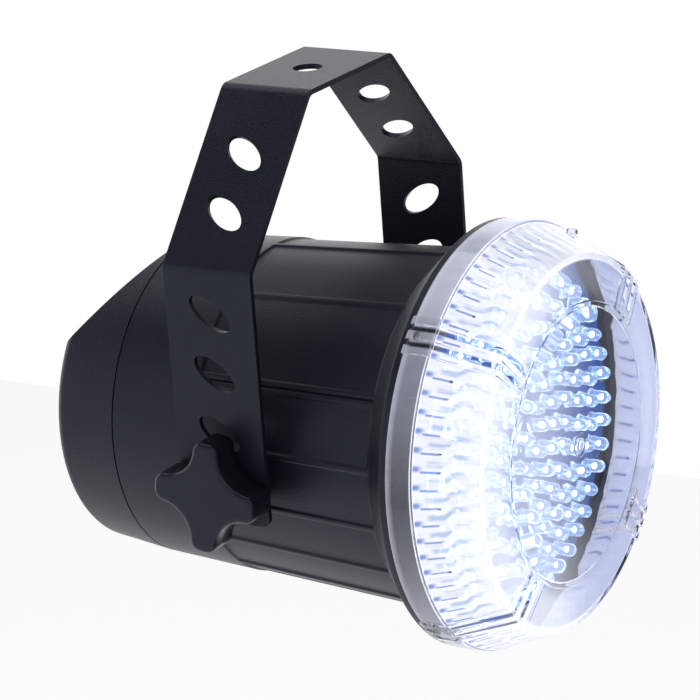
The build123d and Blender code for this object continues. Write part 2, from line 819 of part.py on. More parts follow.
def rate_knob():
    """Fluted knob with a pointer groove."""
    knob = rod(rate_knob_radius, rate_knob_height)
    for index in range(rate_knob_grips):
        turn = Rot(0, 0, 360 * (index + 0.5) / rate_knob_grips)
        knob -= turn * Pos(rate_knob_radius, 0, rate_knob_skirt) * rod(rate_grip_radius, rate_knob_height)
    knob -= Pos(0, rate_knob_radius / 2, rate_knob_height) * Box(rate_pointer_width, rate_knob_radius,
                                                                 2 * rate_pointer_depth)
    knob -= rod(rate_shaft_radius + fit_gap, rate_socket_depth)
    base = rear_y + rate_bush_reach + rate_knob_gap
    return facing_rear(rate_x, rate_z, base) * Rot(0, 0, 180) * knob


def rear_nut(x, z, across, height, radius):
    """Nut on the outside of the rear face."""
    return facing_rear(x, z, rear_y) * hex_nut(across, height, radius + fit_gap)


def inner_nut(x, z, across, height, radius):
    """Nut on the inside of the rear face."""
    return facing_rear(x, z, rear_y - cover_wall - height) * hex_nut(across, height, radius + fit_gap)


def trigger_jack():
    """Trigger socket: a square body behind the rear face, with a bored bush through the wall."""
    inside = rear_y - cover_wall
    body = facing_rear(jack_x, jack_z, inside - jack_body_depth) * block(jack_body_width, jack_body_width,
                                                                         jack_body_depth)
    body += facing_rear(jack_x, jack_z, inside) * rod(jack_bush_radius, cover_wall + jack_bush_reach)
    depth = jack_body_depth - jack_end_wall
    return body - facing_rear(jack_x, jack_z, inside - depth) * rod(jack_bore_radius,
                                                                    depth + cover_wall + jack_bush_reach)


def fuse_holder():
    """Flanged tube through the rear face that takes the fuse and its cap."""
    body = facing_rear(fuse_x, fuse_z, rear_y - fuse_tube_length) * rod(fuse_tube_radius, fuse_tube_length)
    body += facing_rear(fuse_x, fuse_z, rear_y) * rod(fuse_flange_radius, fuse_flange_thickness)
    depth = fuse_tube_length - fuse_end_wall
    return body - facing_rear(fuse_x, fuse_z, rear_y - depth) * rod(fuse_bore_radius,
                                                                    depth + fuse_flange_thickness)


def fuse_cap():
    """Slotted cap whose stem holds the fuse in its tube."""
    mouth = rear_y + fuse_flange_thickness + running_gap
    cap = facing_rear(fuse_x, fuse_z, mouth) * rod(fuse_cap_radius, fuse_cap_height)
    stem = rod(fuse_bore_radius - running_gap, fuse_cap_stem)
    cap += facing_rear(fuse_x, fuse_z, mouth - fuse_cap_stem) * stem
    slot = Box(2 * fuse_cap_radius, fuse_slot_width, 2 * fuse_slot_depth)
    return cap - facing_rear(fuse_x, fuse_z, mouth + fuse_cap_height) * slot


def fuse():
    """Glass fuse with an end cap at each end, as one turned solid."""
    mouth = rear_y + fuse_flange_thickness + running_gap
    start = facing_rear(fuse_x, fuse_z, mouth - fuse_cap_stem - fuse_length)
    glass = start * rod(fuse_radius - fuse_ferrule_wall, fuse_length)
    ends = [start * Pos(0, 0, z) * rod(fuse_radius, fuse_ferrule_length)
            for z in (0, fuse_length - fuse_ferrule_length)]
    return glass + ends


def gland_body():
    """Cable gland's threaded body: hexagon outside the rear face, thread inside it, neck under the cap."""
    inside = rear_y - cover_wall - gland_thread_length
    neck = gland_hex_height + gland_neck
    body = facing_rear(gland_x, gland_z, inside) * rod(gland_thread_radius, rear_y + neck - inside)
    body += facing_rear(gland_x, gland_z, rear_y) * hex_nut(gland_hex_across, gland_hex_height,
                                                           gland_bore_radius)
    bore = facing_rear(gland_x, gland_z, inside) * rod(gland_bore_radius, rear_y + neck - inside)
    seal = facing_rear(gland_x, gland_z, rear_y + neck - gland_seal_depth) * rod(
        gland_bore_radius + gland_seal_wall + fit_gap, gland_seal_depth)
    return body - bore - seal


def gland_seal():
    """Rubber ring in the gland's mouth."""
    top = rear_y + gland_hex_height + gland_neck
    place = facing_rear(gland_x, gland_z, top - gland_seal_depth)
    return place * tube(gland_bore_radius + gland_seal_wall, gland_bore_radius, gland_seal_depth)


def gland_cap():
    """Domed nut that squeezes the seal."""
    base = facing_rear(gland_x, gland_z, rear_y + gland_hex_height + fit_gap)
    cap = rod(gland_cap_radius, gland_cap_height)
    cap = fillet(cap.edges().group_by(Axis.Z)[-1], gland_cap_round)
    cap -= rod(gland_thread_radius + fit_gap, gland_neck)
    cap -= rod(gland_bore_radius + seat_gap, gland_cap_height)
    return base * cap


save("bracket", bracket())
save("housing_barrel", barrel())
save("rear_cover", rear_cover())
save("lens_cover", lens_cover())
save("lens_screws", *lens_screws())
save("led_board", led_board())
save("led_board_screws", *board_screws())
save("leds", *leds())
save("rear_cover_screws", *cover_screws())
for side_name, side_sign in (("left", -1), ("right", 1)):
    save(f"{side_name}_star_knob", star_knob(side_sign))
    save(f"{side_name}_knob_stud", knob_stud(side_sign))
    save(f"{side_name}_knob_washer", knob_washer(side_sign))
    save(f"{side_name}_friction_pad", friction_pad(side_sign))
    save(f"{side_name}_threaded_insert", threaded_insert(side_sign))
save("driver_board", driver_board())
save("driver_board_screws", *driver_screws())
save("transformer_core", transformer_core())
save("transformer_coil", transformer_coil())
save("capacitors", *capacitors())
save("heat_sink", heat_sink())
save("transistors", *transistors())
save("bridge_rectifier", rectifier())
save("timer_chip", timer_chip())
save("terminal_block", terminal_block())
save("led_leads", *led_leads())
save("mains_leads", *mains_leads())
save("control_leads", *control_leads())
save("potentiometer", potentiometer())
save("potentiometer_nut", rear_nut(rate_x, rate_z, rate_nut_across, rate_nut_height, rate_bush_radius))
save("rate_shaft", rate_shaft())
save("rate_knob", rate_knob())
save("trigger_jack", trigger_jack())
save("trigger_jack_nut", rear_nut(jack_x, jack_z, jack_nut_across, jack_nut_height, jack_bush_radius))
save("fuse_holder", fuse_holder())
save("fuse_holder_nut", inner_nut(fuse_x, fuse_z, fuse_nut_across, fuse_nut_height, fuse_tube_radius))
save("fuse_cap", fuse_cap())
save("fuse", fuse())
save("gland_body", gland_body())
save("gland_seal", gland_seal())
save("gland_cap", gland_cap())
save("gland_nut", inner_nut(gland_x, gland_z, gland_nut_across, gland_nut_height, gland_thread_radius))
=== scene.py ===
"""Looks of a hanging LED strobe light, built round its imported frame."""

import logging
import math
import random
from dataclasses import dataclass
from enum import Enum
from typing import Any, Iterable, Optional, Sequence, Union

import bmesh
import bpy
import numpy as np
from mathutils import Matrix, Vector


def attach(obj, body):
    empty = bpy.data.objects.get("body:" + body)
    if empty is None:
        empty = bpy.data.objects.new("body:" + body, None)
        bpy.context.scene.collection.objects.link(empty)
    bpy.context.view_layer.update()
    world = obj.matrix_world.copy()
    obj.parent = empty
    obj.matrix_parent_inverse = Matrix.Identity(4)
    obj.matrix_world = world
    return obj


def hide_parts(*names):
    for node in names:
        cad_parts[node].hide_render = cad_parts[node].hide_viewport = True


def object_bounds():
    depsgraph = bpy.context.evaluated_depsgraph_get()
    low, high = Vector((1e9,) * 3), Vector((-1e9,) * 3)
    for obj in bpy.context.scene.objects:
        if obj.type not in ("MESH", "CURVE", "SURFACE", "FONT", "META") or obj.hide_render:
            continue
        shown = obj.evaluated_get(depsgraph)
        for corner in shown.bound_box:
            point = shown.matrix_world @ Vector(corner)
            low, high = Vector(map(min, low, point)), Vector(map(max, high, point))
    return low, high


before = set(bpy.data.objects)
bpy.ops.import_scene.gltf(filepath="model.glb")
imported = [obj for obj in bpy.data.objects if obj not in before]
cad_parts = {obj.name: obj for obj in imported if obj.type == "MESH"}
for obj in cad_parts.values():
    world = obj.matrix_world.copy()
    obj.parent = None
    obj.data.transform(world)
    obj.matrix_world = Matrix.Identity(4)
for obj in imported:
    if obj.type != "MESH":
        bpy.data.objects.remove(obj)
CAD_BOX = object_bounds()
MM = 0.001
BLUE_SHEEN = (0.74, 0.84, 1.0)
log = logging.getLogger("strobe_light")

Points = Sequence[tuple[float, float]]
Value = Union["Sock", float, Sequence[float]]


class Body(Enum):
    """The frame's bodies, by the names that they have there."""

    BRACKET = "bracket"
    HOUSING = "housing"
    LEFT_KNOB = "left_knob"
    RIGHT_KNOB = "right_knob"
    RATE = "rate_control"
    FUSE = "fuse_carrier"


class Side(Enum):
    """The two ends of the pivot axis."""

    LEFT = -1
    RIGHT = 1


# Nodes as expressions

class Sock:
    """One output socket, with the arithmetic that a node tree needs."""

    def __init__(self, graph: "Graph", socket: bpy.types.NodeSocket) -> None:
        """Wrap a socket.

        Args:
            graph: The graph that owns the socket.
            socket: The output socket.
        """
        self.graph = graph
        self.socket = socket

    def __add__(self, other: Value) -> "Sock":
        """Sum of the two values."""
        return self.graph.maths("ADD", self, other)

    def __radd__(self, other: Value) -> "Sock":
        """Sum, with this value on the right."""
        return self.graph.maths("ADD", other, self)

    def __sub__(self, other: Value) -> "Sock":
        """Difference of the two values."""
        return self.graph.maths("SUBTRACT", self, other)

    def __rsub__(self, other: Value) -> "Sock":
        """Difference, with this value on the right."""
        return self.graph.maths("SUBTRACT", other, self)

    def __mul__(self, other: Value) -> "Sock":
        """Product of the two values."""
        return self.graph.maths("MULTIPLY", self, other)

    def __rmul__(self, other: Value) -> "Sock":
        """Product, with this value on the right."""
        return self.graph.maths("MULTIPLY", other, self)

    def __truediv__(self, other: Value) -> "Sock":
        """Quotient of the two values."""
        return self.graph.maths("DIVIDE", self, other)

    def __rtruediv__(self, other: Value) -> "Sock":
        """Quotient, with this value on the right."""
        return self.graph.maths("DIVIDE", other, self)

    def __pow__(self, other: Value) -> "Sock":
        """This value to a power."""
        return self.graph.maths("POWER", self, other)

    def absolute(self) -> "Sock":
        """This value without its sign."""
        return self.graph.maths("ABSOLUTE", self)

    def least(self, other: Value) -> "Sock":
        """The smaller of the two values."""
        return self.graph.maths("MINIMUM", self, other)

    def most(self, other: Value) -> "Sock":
        """The larger of the two values."""
        return self.graph.maths("MAXIMUM", self, other)

    def eased(self, low: float, high: float) -> "Sock":
        """Smooth step of this value.

        Args:
            low: Where the step starts from 0.
            high: Where it reaches 1.

        Returns:
            The step, from 0 to 1.
        """
        node = self.graph.add("ShaderNodeMapRange", {"interpolation_type": "SMOOTHSTEP"},
                              {"Value": self, "From Min": low, "From Max": high})
        return Sock(self.graph, node.outputs["Result"])


class Graph:
    """A node tree that is written as expressions on sockets."""

    def __init__(self, tree: bpy.types.NodeTree) -> None:
        """Wrap a tree.

        Args:
            tree: The shader or geometry tree.
        """
        self.tree = tree

    def add(self, kind: str, settings: Optional[dict[str, Any]] = None,
            inputs: Optional[dict[Any, Any]] = None) -> bpy.types.Node:
        """Add one node.

        Args:
            kind: The node's type.
            settings: Its properties, set first; "stops" fills a colour ramp.
            inputs: Values or sockets for its inputs, by name, identifier or index.

        Returns:
            The node.
        """
        node = self.tree.nodes.new(kind)
        for name, value in (settings or {}).items():
            if name == "stops":
                elements = node.color_ramp.elements
                while len(elements) < len(value):
                    elements.new(0.5)
                for element, (place, colour) in zip(elements, value):
                    element.position, element.color = place, (*colour, 1.0)
            else:
                setattr(node, name, value)
        for key, value in (inputs or {}).items():
            self.feed(node, key, value)
        return node

    def feed(self, node: bpy.types.Node, key: Any, value: Any) -> None:
        """Set or link one input.

        Args:
            node: The node that takes it.
            key: The input's identifier, name or index.
            value: A number, a colour, a socket or a node, whose first output is taken.
        """
        if isinstance(key, int):
            socket = node.inputs[key]
        else:
            socket = next((s for s in node.inputs if s.identifier == key), None) or node.inputs[key]
        if isinstance(value, Sock):
            self.tree.links.new(value.socket, socket)
        elif isinstance(value, bpy.types.Node):
            self.tree.links.new(value.outputs[0], socket)
        else:
            socket.default_value = value

    def maths(self, operation: str, *values: Value) -> Sock:
        """Result of a Math node on the values."""
        node = self.add("ShaderNodeMath", {"operation": operation}, dict(enumerate(values)))
        return Sock(self, node.outputs[0])

    def vector(self, operation: str, *values: Value) -> Sock:
        """Result of a Vector Math node on the values."""
        node = self.add("ShaderNodeVectorMath", {"operation": operation}, dict(enumerate(values)))
        return Sock(self, node.outputs["Value" if operation in ("LENGTH", "DISTANCE", "DOT_PRODUCT") else "Vector"])

    def parts(self, vector: Value) -> tuple[Sock, Sock, Sock]:
        """X, Y and Z of a vector."""
        node = self.add("ShaderNodeSeparateXYZ", None, {0: vector})
        return Sock(self, node.outputs[0]), Sock(self, node.outputs[1]), Sock(self, node.outputs[2])

    def joined(self, x: Value, y: Value, z: Value) -> Sock:
        """A vector from its three parts."""
        return Sock(self, self.add("ShaderNodeCombineXYZ", None, {0: x, 1: y, 2: z}).outputs[0])

    def place(self) -> Sock:
        """Object coordinates, which are metres in the frame."""
        return Sock(self, self.add("ShaderNodeTexCoord").outputs["Object"])

    def noise(self, scale: float, detail: float = 2.0, where: Optional[Sock] = None) -> Sock:
        """Noise from 0 to 1.

        Args:
            scale: Waves a metre.
            detail: Octaves.
            where: The point to read it at, or the object coordinates.

        Returns:
            The noise.
        """
        node = self.add("ShaderNodeTexNoise", None,
                        {"Vector": where or self.place(), "Scale": scale, "Detail": detail})
        return Sock(self, node.outputs[0])

    def mixed(self, factor: Value, first: Any, second: Any) -> Sock:
        """Colour between two colours, by a factor from 0 to 1."""
        node = self.add("ShaderNodeMix", {"data_type": "RGBA"},
                        {"Factor_Float": factor, "A_Color": first, "B_Color": second})
        return Sock(self, next(s for s in node.outputs if s.identifier == "Result_Color"))

    def bumped(self, height: Sock, depth: float, strength: float = 1.0) -> Sock:
        """Normal of a surface that the height lifts by up to the depth in metres."""
        node = self.add("ShaderNodeBump", None, {"Strength": strength, "Distance": depth, "Height": height})
        return Sock(self, node.outputs[0])


def rgba(colour: Sequence[float]) -> tuple[float, float, float, float]:
    """A colour with full alpha."""
    return (*colour[:3], 1.0)


# Finishes

@dataclass(frozen=True)
class Finish:
    """A surface finish; subclasses say how it is painted."""

    name: str

    def material(self) -> bpy.types.Material:
        """The finish's material, made once."""
        found = bpy.data.materials.get(self.name)
        if found:
            return found
        made = bpy.data.materials.new(self.name)
        made.use_nodes = True
        made.node_tree.nodes.clear()
        graph = Graph(made.node_tree)
        shader = graph.add("ShaderNodeBsdfPrincipled")
        self.paint(graph, shader)
        graph.add("ShaderNodeOutputMaterial", None, {"Surface": self.topped(graph, shader)})
        return made

    def topped(self, graph: Graph, shader: bpy.types.Node) -> bpy.types.Node:
        """The shader that the surface ends in; a finish of two layers mixes its second one in here."""
        return shader

    def paint(self, graph: Graph, shader: bpy.types.Node) -> None:
        """Set up the shader.

        Args:
            graph: The material's graph.
            shader: Its Principled shader.
        """
        raise NotImplementedError


@dataclass(frozen=True)
class GrainedPlastic(Finish):
    """Moulded plastic with an eroded grain and slow changes of tone."""

    colour: tuple[float, float, float] = (0.007, 0.0092, 0.0175)
    worn: tuple[float, float, float] = (0.011, 0.0135, 0.024)
    rough: float = 0.38
    spread: float = 0.12
    grain: float = 1400.0
    depth: float = 0.00028
    coat: float = 0.0

    def paint(self, graph: Graph, shader: bpy.types.Node) -> None:
        """Set up the shader; see Finish."""
        slow = graph.noise(22.0, 3.0)
        fine = graph.noise(self.grain, 3.0)
        graph.feed(shader, "Base Color", graph.mixed(slow.eased(0.35, 0.7), rgba(self.colour), rgba(self.worn)))
        graph.feed(shader, "Roughness", self.rough - self.spread / 2 + fine * self.spread)
        graph.feed(shader, "Normal", graph.bumped(fine, self.depth, 0.55))
        graph.feed(shader, "IOR", 1.45)
        graph.feed(shader, "Specular Tint", rgba(BLUE_SHEEN))
        graph.feed(shader, "Coat Weight", self.coat)
        graph.feed(shader, "Coat Roughness", 0.18)


@dataclass(frozen=True)
class PowderCoat(Finish):
    """Baked paint on steel: fine orange peel and a trace of wear."""

    colour: tuple[float, float, float] = (0.007, 0.0092, 0.0175)
    worn: tuple[float, float, float] = (0.011, 0.0135, 0.024)
    rough: float = 0.34

    def paint(self, graph: Graph, shader: bpy.types.Node) -> None:
        """Set up the shader; see Finish."""
        peel = graph.noise(1500.0, 2.0)
        slow = graph.noise(30.0, 4.0)
        graph.feed(shader, "Base Color", graph.mixed(slow.eased(0.4, 0.75), rgba(self.colour), rgba(self.worn)))
        graph.feed(shader, "Roughness", self.rough - 0.03 + peel * 0.08 + slow * 0.03)
        graph.feed(shader, "Normal", graph.bumped(peel, 0.00024, 0.6))
        graph.feed(shader, "IOR", 1.45)
        graph.feed(shader, "Specular Tint", rgba(BLUE_SHEEN))


@dataclass(frozen=True)
class ClearPlastic(Finish):
    """Clear moulding with a faint tint and slow waves in its faces, under a milky layer where its attribute says so;
    the layer carries painted glow of the LEDs and painted shade in marks that follow the flutes.
    """

    colour: tuple[float, float, float] = (0.89, 0.905, 0.99)
    # The next five colours are the milky layer's base, the painted glow's white, two blues of painted shade in the
    # flute marks and the painted glow's pale tone; glow below is the painted glow's strength.
    milky_glow: tuple[float, float, float] = (0.62, 0.67, 0.90)
    shine: tuple[float, float, float] = (0.97, 0.985, 1.0)
    flute_shade: tuple[float, float, float] = (0.16, 0.27, 0.66)
    smear_shade: tuple[float, float, float] = (0.24, 0.42, 0.66)
    pale: tuple[float, float, float] = (0.50, 0.56, 0.80)
    glow: float = 1.12
    rough: float = 0.02
    wave: float = 0.0001
    centre: float = -134.0
    step: float = -80.1
    flutes: int = 72

    @staticmethod
    def off(graph: Graph, turn: Sock, phase: Value) -> Sock:
        """Distance from a phase of the flutes, in pitches, from 0 to a half."""
        return (graph.maths("FRACT", turn + 100.5 - phase) - 0.5).absolute()

    def attribute(self, graph: Graph, name: str) -> Sock:
        """A number stored on the moulding's points."""
        return Sock(graph, graph.add("ShaderNodeAttribute", {"attribute_name": name}).outputs["Fac"])

    def paint(self, graph: Graph, shader: bpy.types.Node) -> None:
        """Set up the shader; see Finish."""
        slow = graph.noise(90.0, 1.0)
        graph.feed(shader, "Base Color", rgba(self.colour))
        graph.feed(shader, "Transmission Weight", 1.0)
        graph.feed(shader, "IOR", 1.49)
        graph.feed(shader, "Roughness", self.rough + slow.eased(0.45, 0.8) * 0.02)
        graph.feed(shader, "Normal", graph.bumped(slow, self.wave, 0.7))

    def topped(self, graph: Graph, shader: bpy.types.Node) -> bpy.types.Node:
        """Mix the milky layer over the clear plastic, with painted LED glow in spikes that follow the flutes and
        painted shade in the marks between them; see Finish.
        """
        haze, lit, side = [self.attribute(graph, name) for name in ("haze", "lit", "near")]
        lens_front = Sock(graph, graph.add("ShaderNodeLayerWeight", None, {"Blend": 0.5}).outputs["Facing"])
        outgoing = Sock(graph, graph.add("ShaderNodeNewGeometry").outputs["Backfacing"])
        x, y, z = [part * 1000.0 for part in graph.parts(graph.place())]
        turn = graph.maths("ARCTAN2", x * -1.0, z - self.centre) * (self.flutes / math.tau)
        inward = self.step - y
        streaks = graph.noise(1.0, 3.0, graph.joined(turn * 2.3, y * 0.06, 0.0))
        on_wall = inward.eased(-0.05, 0.05) * (1.0 - inward.eased(20.5, 21.3))
        near = side * (1.0 - on_wall) + (0.5 + side * 0.5) * outgoing * on_wall
        # Needles, patches, smears and dots along the flutes are painted shade that stands in for the flutes' refraction
        # of the LEDs.
        beside = self.off(graph, turn, 0.0)
        needle = (1.0 - beside.eased(0.03, 0.09)) * inward.eased(1.8, 2.6) * (1.0 - inward.eased(7.6, 8.4))
        dot = 1.0 - ((inward - 8.4) ** 2.0 * 1.6 + (beside * 11.0) ** 2.0).eased(0.5, 1.0)
        patch = (1.0 - self.off(graph, turn, 0.84).eased(0.04, 0.24)) * (1.0 - inward.eased(0.8, 3.4))
        bend = 0.55 - inward.eased(9.0, 14.0) * 0.5
        smear = (1.0 - self.off(graph, turn, bend).eased(0.05, 0.26)) * inward.eased(3.0, 5.5)
        smear = smear * (1.0 - inward.eased(14.0, 20.0)) * streaks.eased(0.35, 0.55)
        # Painted shade of those marks, only on the wall's glowing side.
        shaded = (needle * 0.9).most(patch * 0.95).most(smear * 0.65) * on_wall * near
        on_front = inward.eased(20.5, 22.0)
        # Painted glow colour: white on the glowing side and the front face, pale lavender elsewhere; the marks shade it
        # blue.
        shine = graph.mixed((near * 1.6 + on_front).least(1.0), rgba(self.pale), rgba(self.shine))
        tone = graph.mixed(shaded, shine, graph.mixed(smear, rgba(self.flute_shade), rgba(self.smear_shade)))
        # Painted dark dots at the needles' ends.
        tone = graph.mixed(dot * on_wall * streaks.eased(0.45, 0.6), tone, rgba((0.01, 0.015, 0.04)))
        milky_glow = graph.add("ShaderNodeBsdfPrincipled", None, {"Roughness": 0.25, "IOR": 1.49})
        # Painted dark dashes along the flutes on the far side of the wall.
        dash = (1.0 - beside.eased(0.04, 0.13)) * inward.eased(1.0, 3.5) * (1.0 - inward.eased(7.0, 11.0))
        dash = dash * (1.0 - near) * on_wall
        # The milky layer's base colour is near black on the glowing wall, so that its painted glow and shade show.
        ground = graph.mixed(near * on_wall, rgba(self.milky_glow), rgba((0.03, 0.035, 0.05)))
        graph.feed(milky_glow, "Base Color", graph.mixed(dash, ground, rgba((0.05, 0.07, 0.16))))
        # Painted glow level from the lit attribute, in streaks, weaker on the far wall.
        level = lit * (0.7 + streaks * 0.6) * (1.0 - on_wall * (1.0 - near) * 0.4)
        graph.feed(milky_glow, "Emission Color", graph.mixed(level.least(1.0), rgba((0, 0, 0)), tone))
        graph.feed(milky_glow, "Emission Strength", self.glow)
        cover = haze * (1.0 - on_wall * (1.0 - near) * 0.48) * (1.0 + dash * 2.4)
        cover = cover * (1.0 - on_front * (1.0 - lens_front.eased(0.03, 0.20)) * 0.8)
        return graph.add("ShaderNodeMixShader", None, {0: cover.least(1.0), 1: shader, 2: milky_glow})


@dataclass(frozen=True)
class BulbResin(Finish):
    """Clear resin of an LED's bulb, with a faint glow: partly the lit LED's own, partly a painted refraction fringe,
    paler and brighter towards its outline as seen.
    """

    def paint(self, graph: Graph, shader: bpy.types.Node) -> None:
        """Set up the shader; see Finish."""
        graph.feed(shader, "Base Color", graph.mixed(graph.noise(300.0), rgba((0.86, 0.93, 1.0)),
                                                     rgba((0.96, 0.98, 1.0))))
        graph.feed(shader, "Transmission Weight", 1.0)
        graph.feed(shader, "IOR", 1.5)
        graph.feed(shader, "Roughness", 0.02 + graph.noise(900.0) * 0.05)
        # Painted refraction fringe: the emission turns paler and brighter where the bulb turns away from view.
        facing = Sock(graph, graph.add("ShaderNodeLayerWeight", None, {"Blend": 0.5}).outputs["Facing"])
        rim = facing.eased(0.35, 0.85)
        graph.feed(shader, "Emission Color", graph.mixed(rim, rgba((0.22, 0.31, 0.42)), rgba((0.66, 0.82, 0.92))))
        graph.feed(shader, "Emission Strength", 0.58)


@dataclass(frozen=True)
class LitCore(Finish):
    """Lit die and phosphor cup inside an LED: white on top, blue at the foot."""

    strength: float = 3.0

    def paint(self, graph: Graph, shader: bpy.types.Node) -> None:
        """Set up the shader; see Finish."""
        glow = Sock(graph, graph.add("ShaderNodeAttribute", {"attribute_name": "glow"}).outputs["Fac"])
        ramp = graph.add("ShaderNodeValToRGB", {"stops": [
            (0.0, (0.06, 0.12, 0.28)), (0.35, (0.20, 0.36, 0.60)), (0.6, (0.62, 0.80, 0.95)),
            (0.85, (0.95, 0.99, 1.0)), (1.0, (1.0, 1.0, 1.0))]}, {0: glow})
        graph.feed(shader, "Base Color", rgba((0.55, 0.66, 0.85)))
        graph.feed(shader, "Roughness", 0.4 + graph.noise(700.0) * 0.1)
        graph.feed(shader, "Emission Color", Sock(graph, ramp.outputs[0]))
        graph.feed(shader, "Emission Strength", self.strength)


@dataclass(frozen=True)
class Plated(Finish):
    """Plated or bare metal with fine streaks."""

    colour: tuple[float, float, float] = (0.62, 0.62, 0.60)
    rough: float = 0.28

    def paint(self, graph: Graph, shader: bpy.types.Node) -> None:
        """Set up the shader; see Finish."""
        x, y, z = graph.parts(graph.place())
        streak = graph.noise(260.0, 3.0, graph.joined(x * 9.0, y, z))
        low = tuple(0.8 * c for c in self.colour)
        graph.feed(shader, "Base Color", graph.mixed(streak, rgba(low), rgba(self.colour)))
        graph.feed(shader, "Metallic", 1.0)
        graph.feed(shader, "Roughness", self.rough - 0.06 + streak * 0.14)
        graph.feed(shader, "Normal", graph.bumped(streak, 0.00004, 0.4))


@dataclass(frozen=True)
class SolderMask(Finish):
    """Circuit board: coloured mask over copper tracks, with small pads, and on its front face a painted glow of the
    LEDs' light at the lit strength.
    """

    colour: tuple[float, float, float] = (0.006, 0.026, 0.12)
    track: tuple[float, float, float] = (0.010, 0.045, 0.19)
    pad: tuple[float, float, float] = (0.30, 0.36, 0.45)
    lit: float = 0.0
    sheen: float = 0.5
    front: float = -0.0772

    def paint(self, graph: Graph, shader: bpy.types.Node) -> None:
        """Set up the shader; see Finish."""
        cells = graph.add("ShaderNodeTexVoronoi", {"feature": "DISTANCE_TO_EDGE"},
                          {"Vector": graph.place(), "Scale": 130.0})
        tracks = 1.0 - Sock(graph, cells.outputs["Distance"]).eased(0.05, 0.09)
        specks = graph.add("ShaderNodeTexVoronoi", None, {"Vector": graph.place(), "Scale": 420.0})
        pads = 1.0 - Sock(graph, specks.outputs["Distance"]).eased(0.10, 0.16)
        base = graph.mixed(tracks, rgba(self.colour), rgba(self.track))
        graph.feed(shader, "Base Color", graph.mixed(pads * 0.6, base, rgba(self.pad)))
        graph.feed(shader, "Roughness", 0.42 + graph.noise(300.0) * 0.12)
        graph.feed(shader, "Specular IOR Level", self.sheen)
        graph.feed(shader, "Normal", graph.bumped(tracks, 0.00006, 0.5))
        # Painted glow: the front face gives off the board's own colour, standing in for the LEDs' light falling on it.
        behind = graph.parts(graph.place())[1].eased(self.front, self.front + 0.0008)
        glow = graph.mixed(pads * 0.08, base, rgba(self.pad))
        graph.feed(shader, "Emission Color", graph.mixed(behind, glow, rgba((0, 0, 0))))
        graph.feed(shader, "Emission Strength", self.lit)


@dataclass(frozen=True)
class Banded(Finish):
    """Windings or laminations: fine bands along one axis."""

    colour: tuple[float, float, float]
    groove: tuple[float, float, float]
    pitch: float
    axis: int = 2
    metal: float = 0.0
    rough: float = 0.35

    def paint(self, graph: Graph, shader: bpy.types.Node) -> None:
        """Set up the shader; see Finish."""
        along = graph.parts(graph.place())[self.axis]
        wave = graph.maths("PINGPONG", along / self.pitch, 0.5) * 2.0
        crest = wave.eased(0.1, 0.7)
        graph.feed(shader, "Base Color", graph.mixed(crest, rgba(self.groove), rgba(self.colour)))
        graph.feed(shader, "Metallic", self.metal)
        graph.feed(shader, "Roughness", self.rough + graph.noise(400.0) * 0.1)
        graph.feed(shader, "Normal", graph.bumped(crest, 0.0001, 0.6))


@dataclass(frozen=True)
class PaleStage(Finish):
    """Studio floor, which the camera and glass see as white and gloss as pale, except that for gloss and glass its
    front part is painted near black, a painted shade for the studio's dark front.
    """

    level: float = 0.62
    gloss: float = 0.9

    def paint(self, graph: Graph, shader: bpy.types.Node) -> None:
        """Set up the shader; see Finish."""
        path = graph.add("ShaderNodeLightPath").outputs
        x, y, _ = graph.parts(graph.place())
        # Painted shade: ahead of the object the floor turns near black for glossy and transmission rays.
        ahead = (x * 0.3 - y).eased(0.1, 0.6)
        mirrored = Sock(graph, path["Is Glossy Ray"]).most(Sock(graph, path["Is Transmission Ray"]))
        seen = Sock(graph, path["Is Camera Ray"]).most(Sock(graph, path["Is Transmission Ray"]) * (1.0 - ahead))
        seen = seen.most(Sock(graph, path["Is Glossy Ray"]) * (1.0 - ahead * 0.9) * self.gloss)
        unlit = ahead * mirrored
        graph.feed(shader, "Base Color", graph.mixed(unlit, rgba((0.80, 0.80, 0.81)), rgba((0.02, 0.02, 0.02))))
        graph.feed(shader, "Roughness", 0.9)
        graph.feed(shader, "Specular IOR Level", 0.0)
        graph.feed(shader, "Emission Color", graph.mixed(seen, rgba((0, 0, 0)), rgba((1, 1, 1))))
        graph.feed(shader, "Emission Strength", self.level)


HOUSING_BLACK = GrainedPlastic("housing grained black")
KNOB_BLACK = GrainedPlastic("knob satin black", colour=(0.0075, 0.009, 0.0165), rough=0.25, spread=0.06,
                            grain=2200.0, depth=0.00004)
CONTROL_BLACK = GrainedPlastic("control black", rough=0.36, grain=1800.0, depth=0.00008)
BRACKET_BLACK = PowderCoat("bracket powder coat")
LENS_CLEAR = ClearPlastic("lens clear plastic")
LED_BULB = BulbResin("clear LED resin")
LED_CORE = LitCore("lit LED core")
ZINC = Plated("zinc plate")
NICKEL = Plated("nickel plate", colour=(0.72, 0.71, 0.68), rough=0.18)
BRASS = Plated("turned brass", colour=(0.70, 0.52, 0.22), rough=0.25)
SINK_ALUMINIUM = Plated("extruded aluminium", colour=(0.72, 0.73, 0.75), rough=0.35)
SCREW_BLACK = Plated("black oxide steel", colour=(0.05, 0.05, 0.055), rough=0.38)
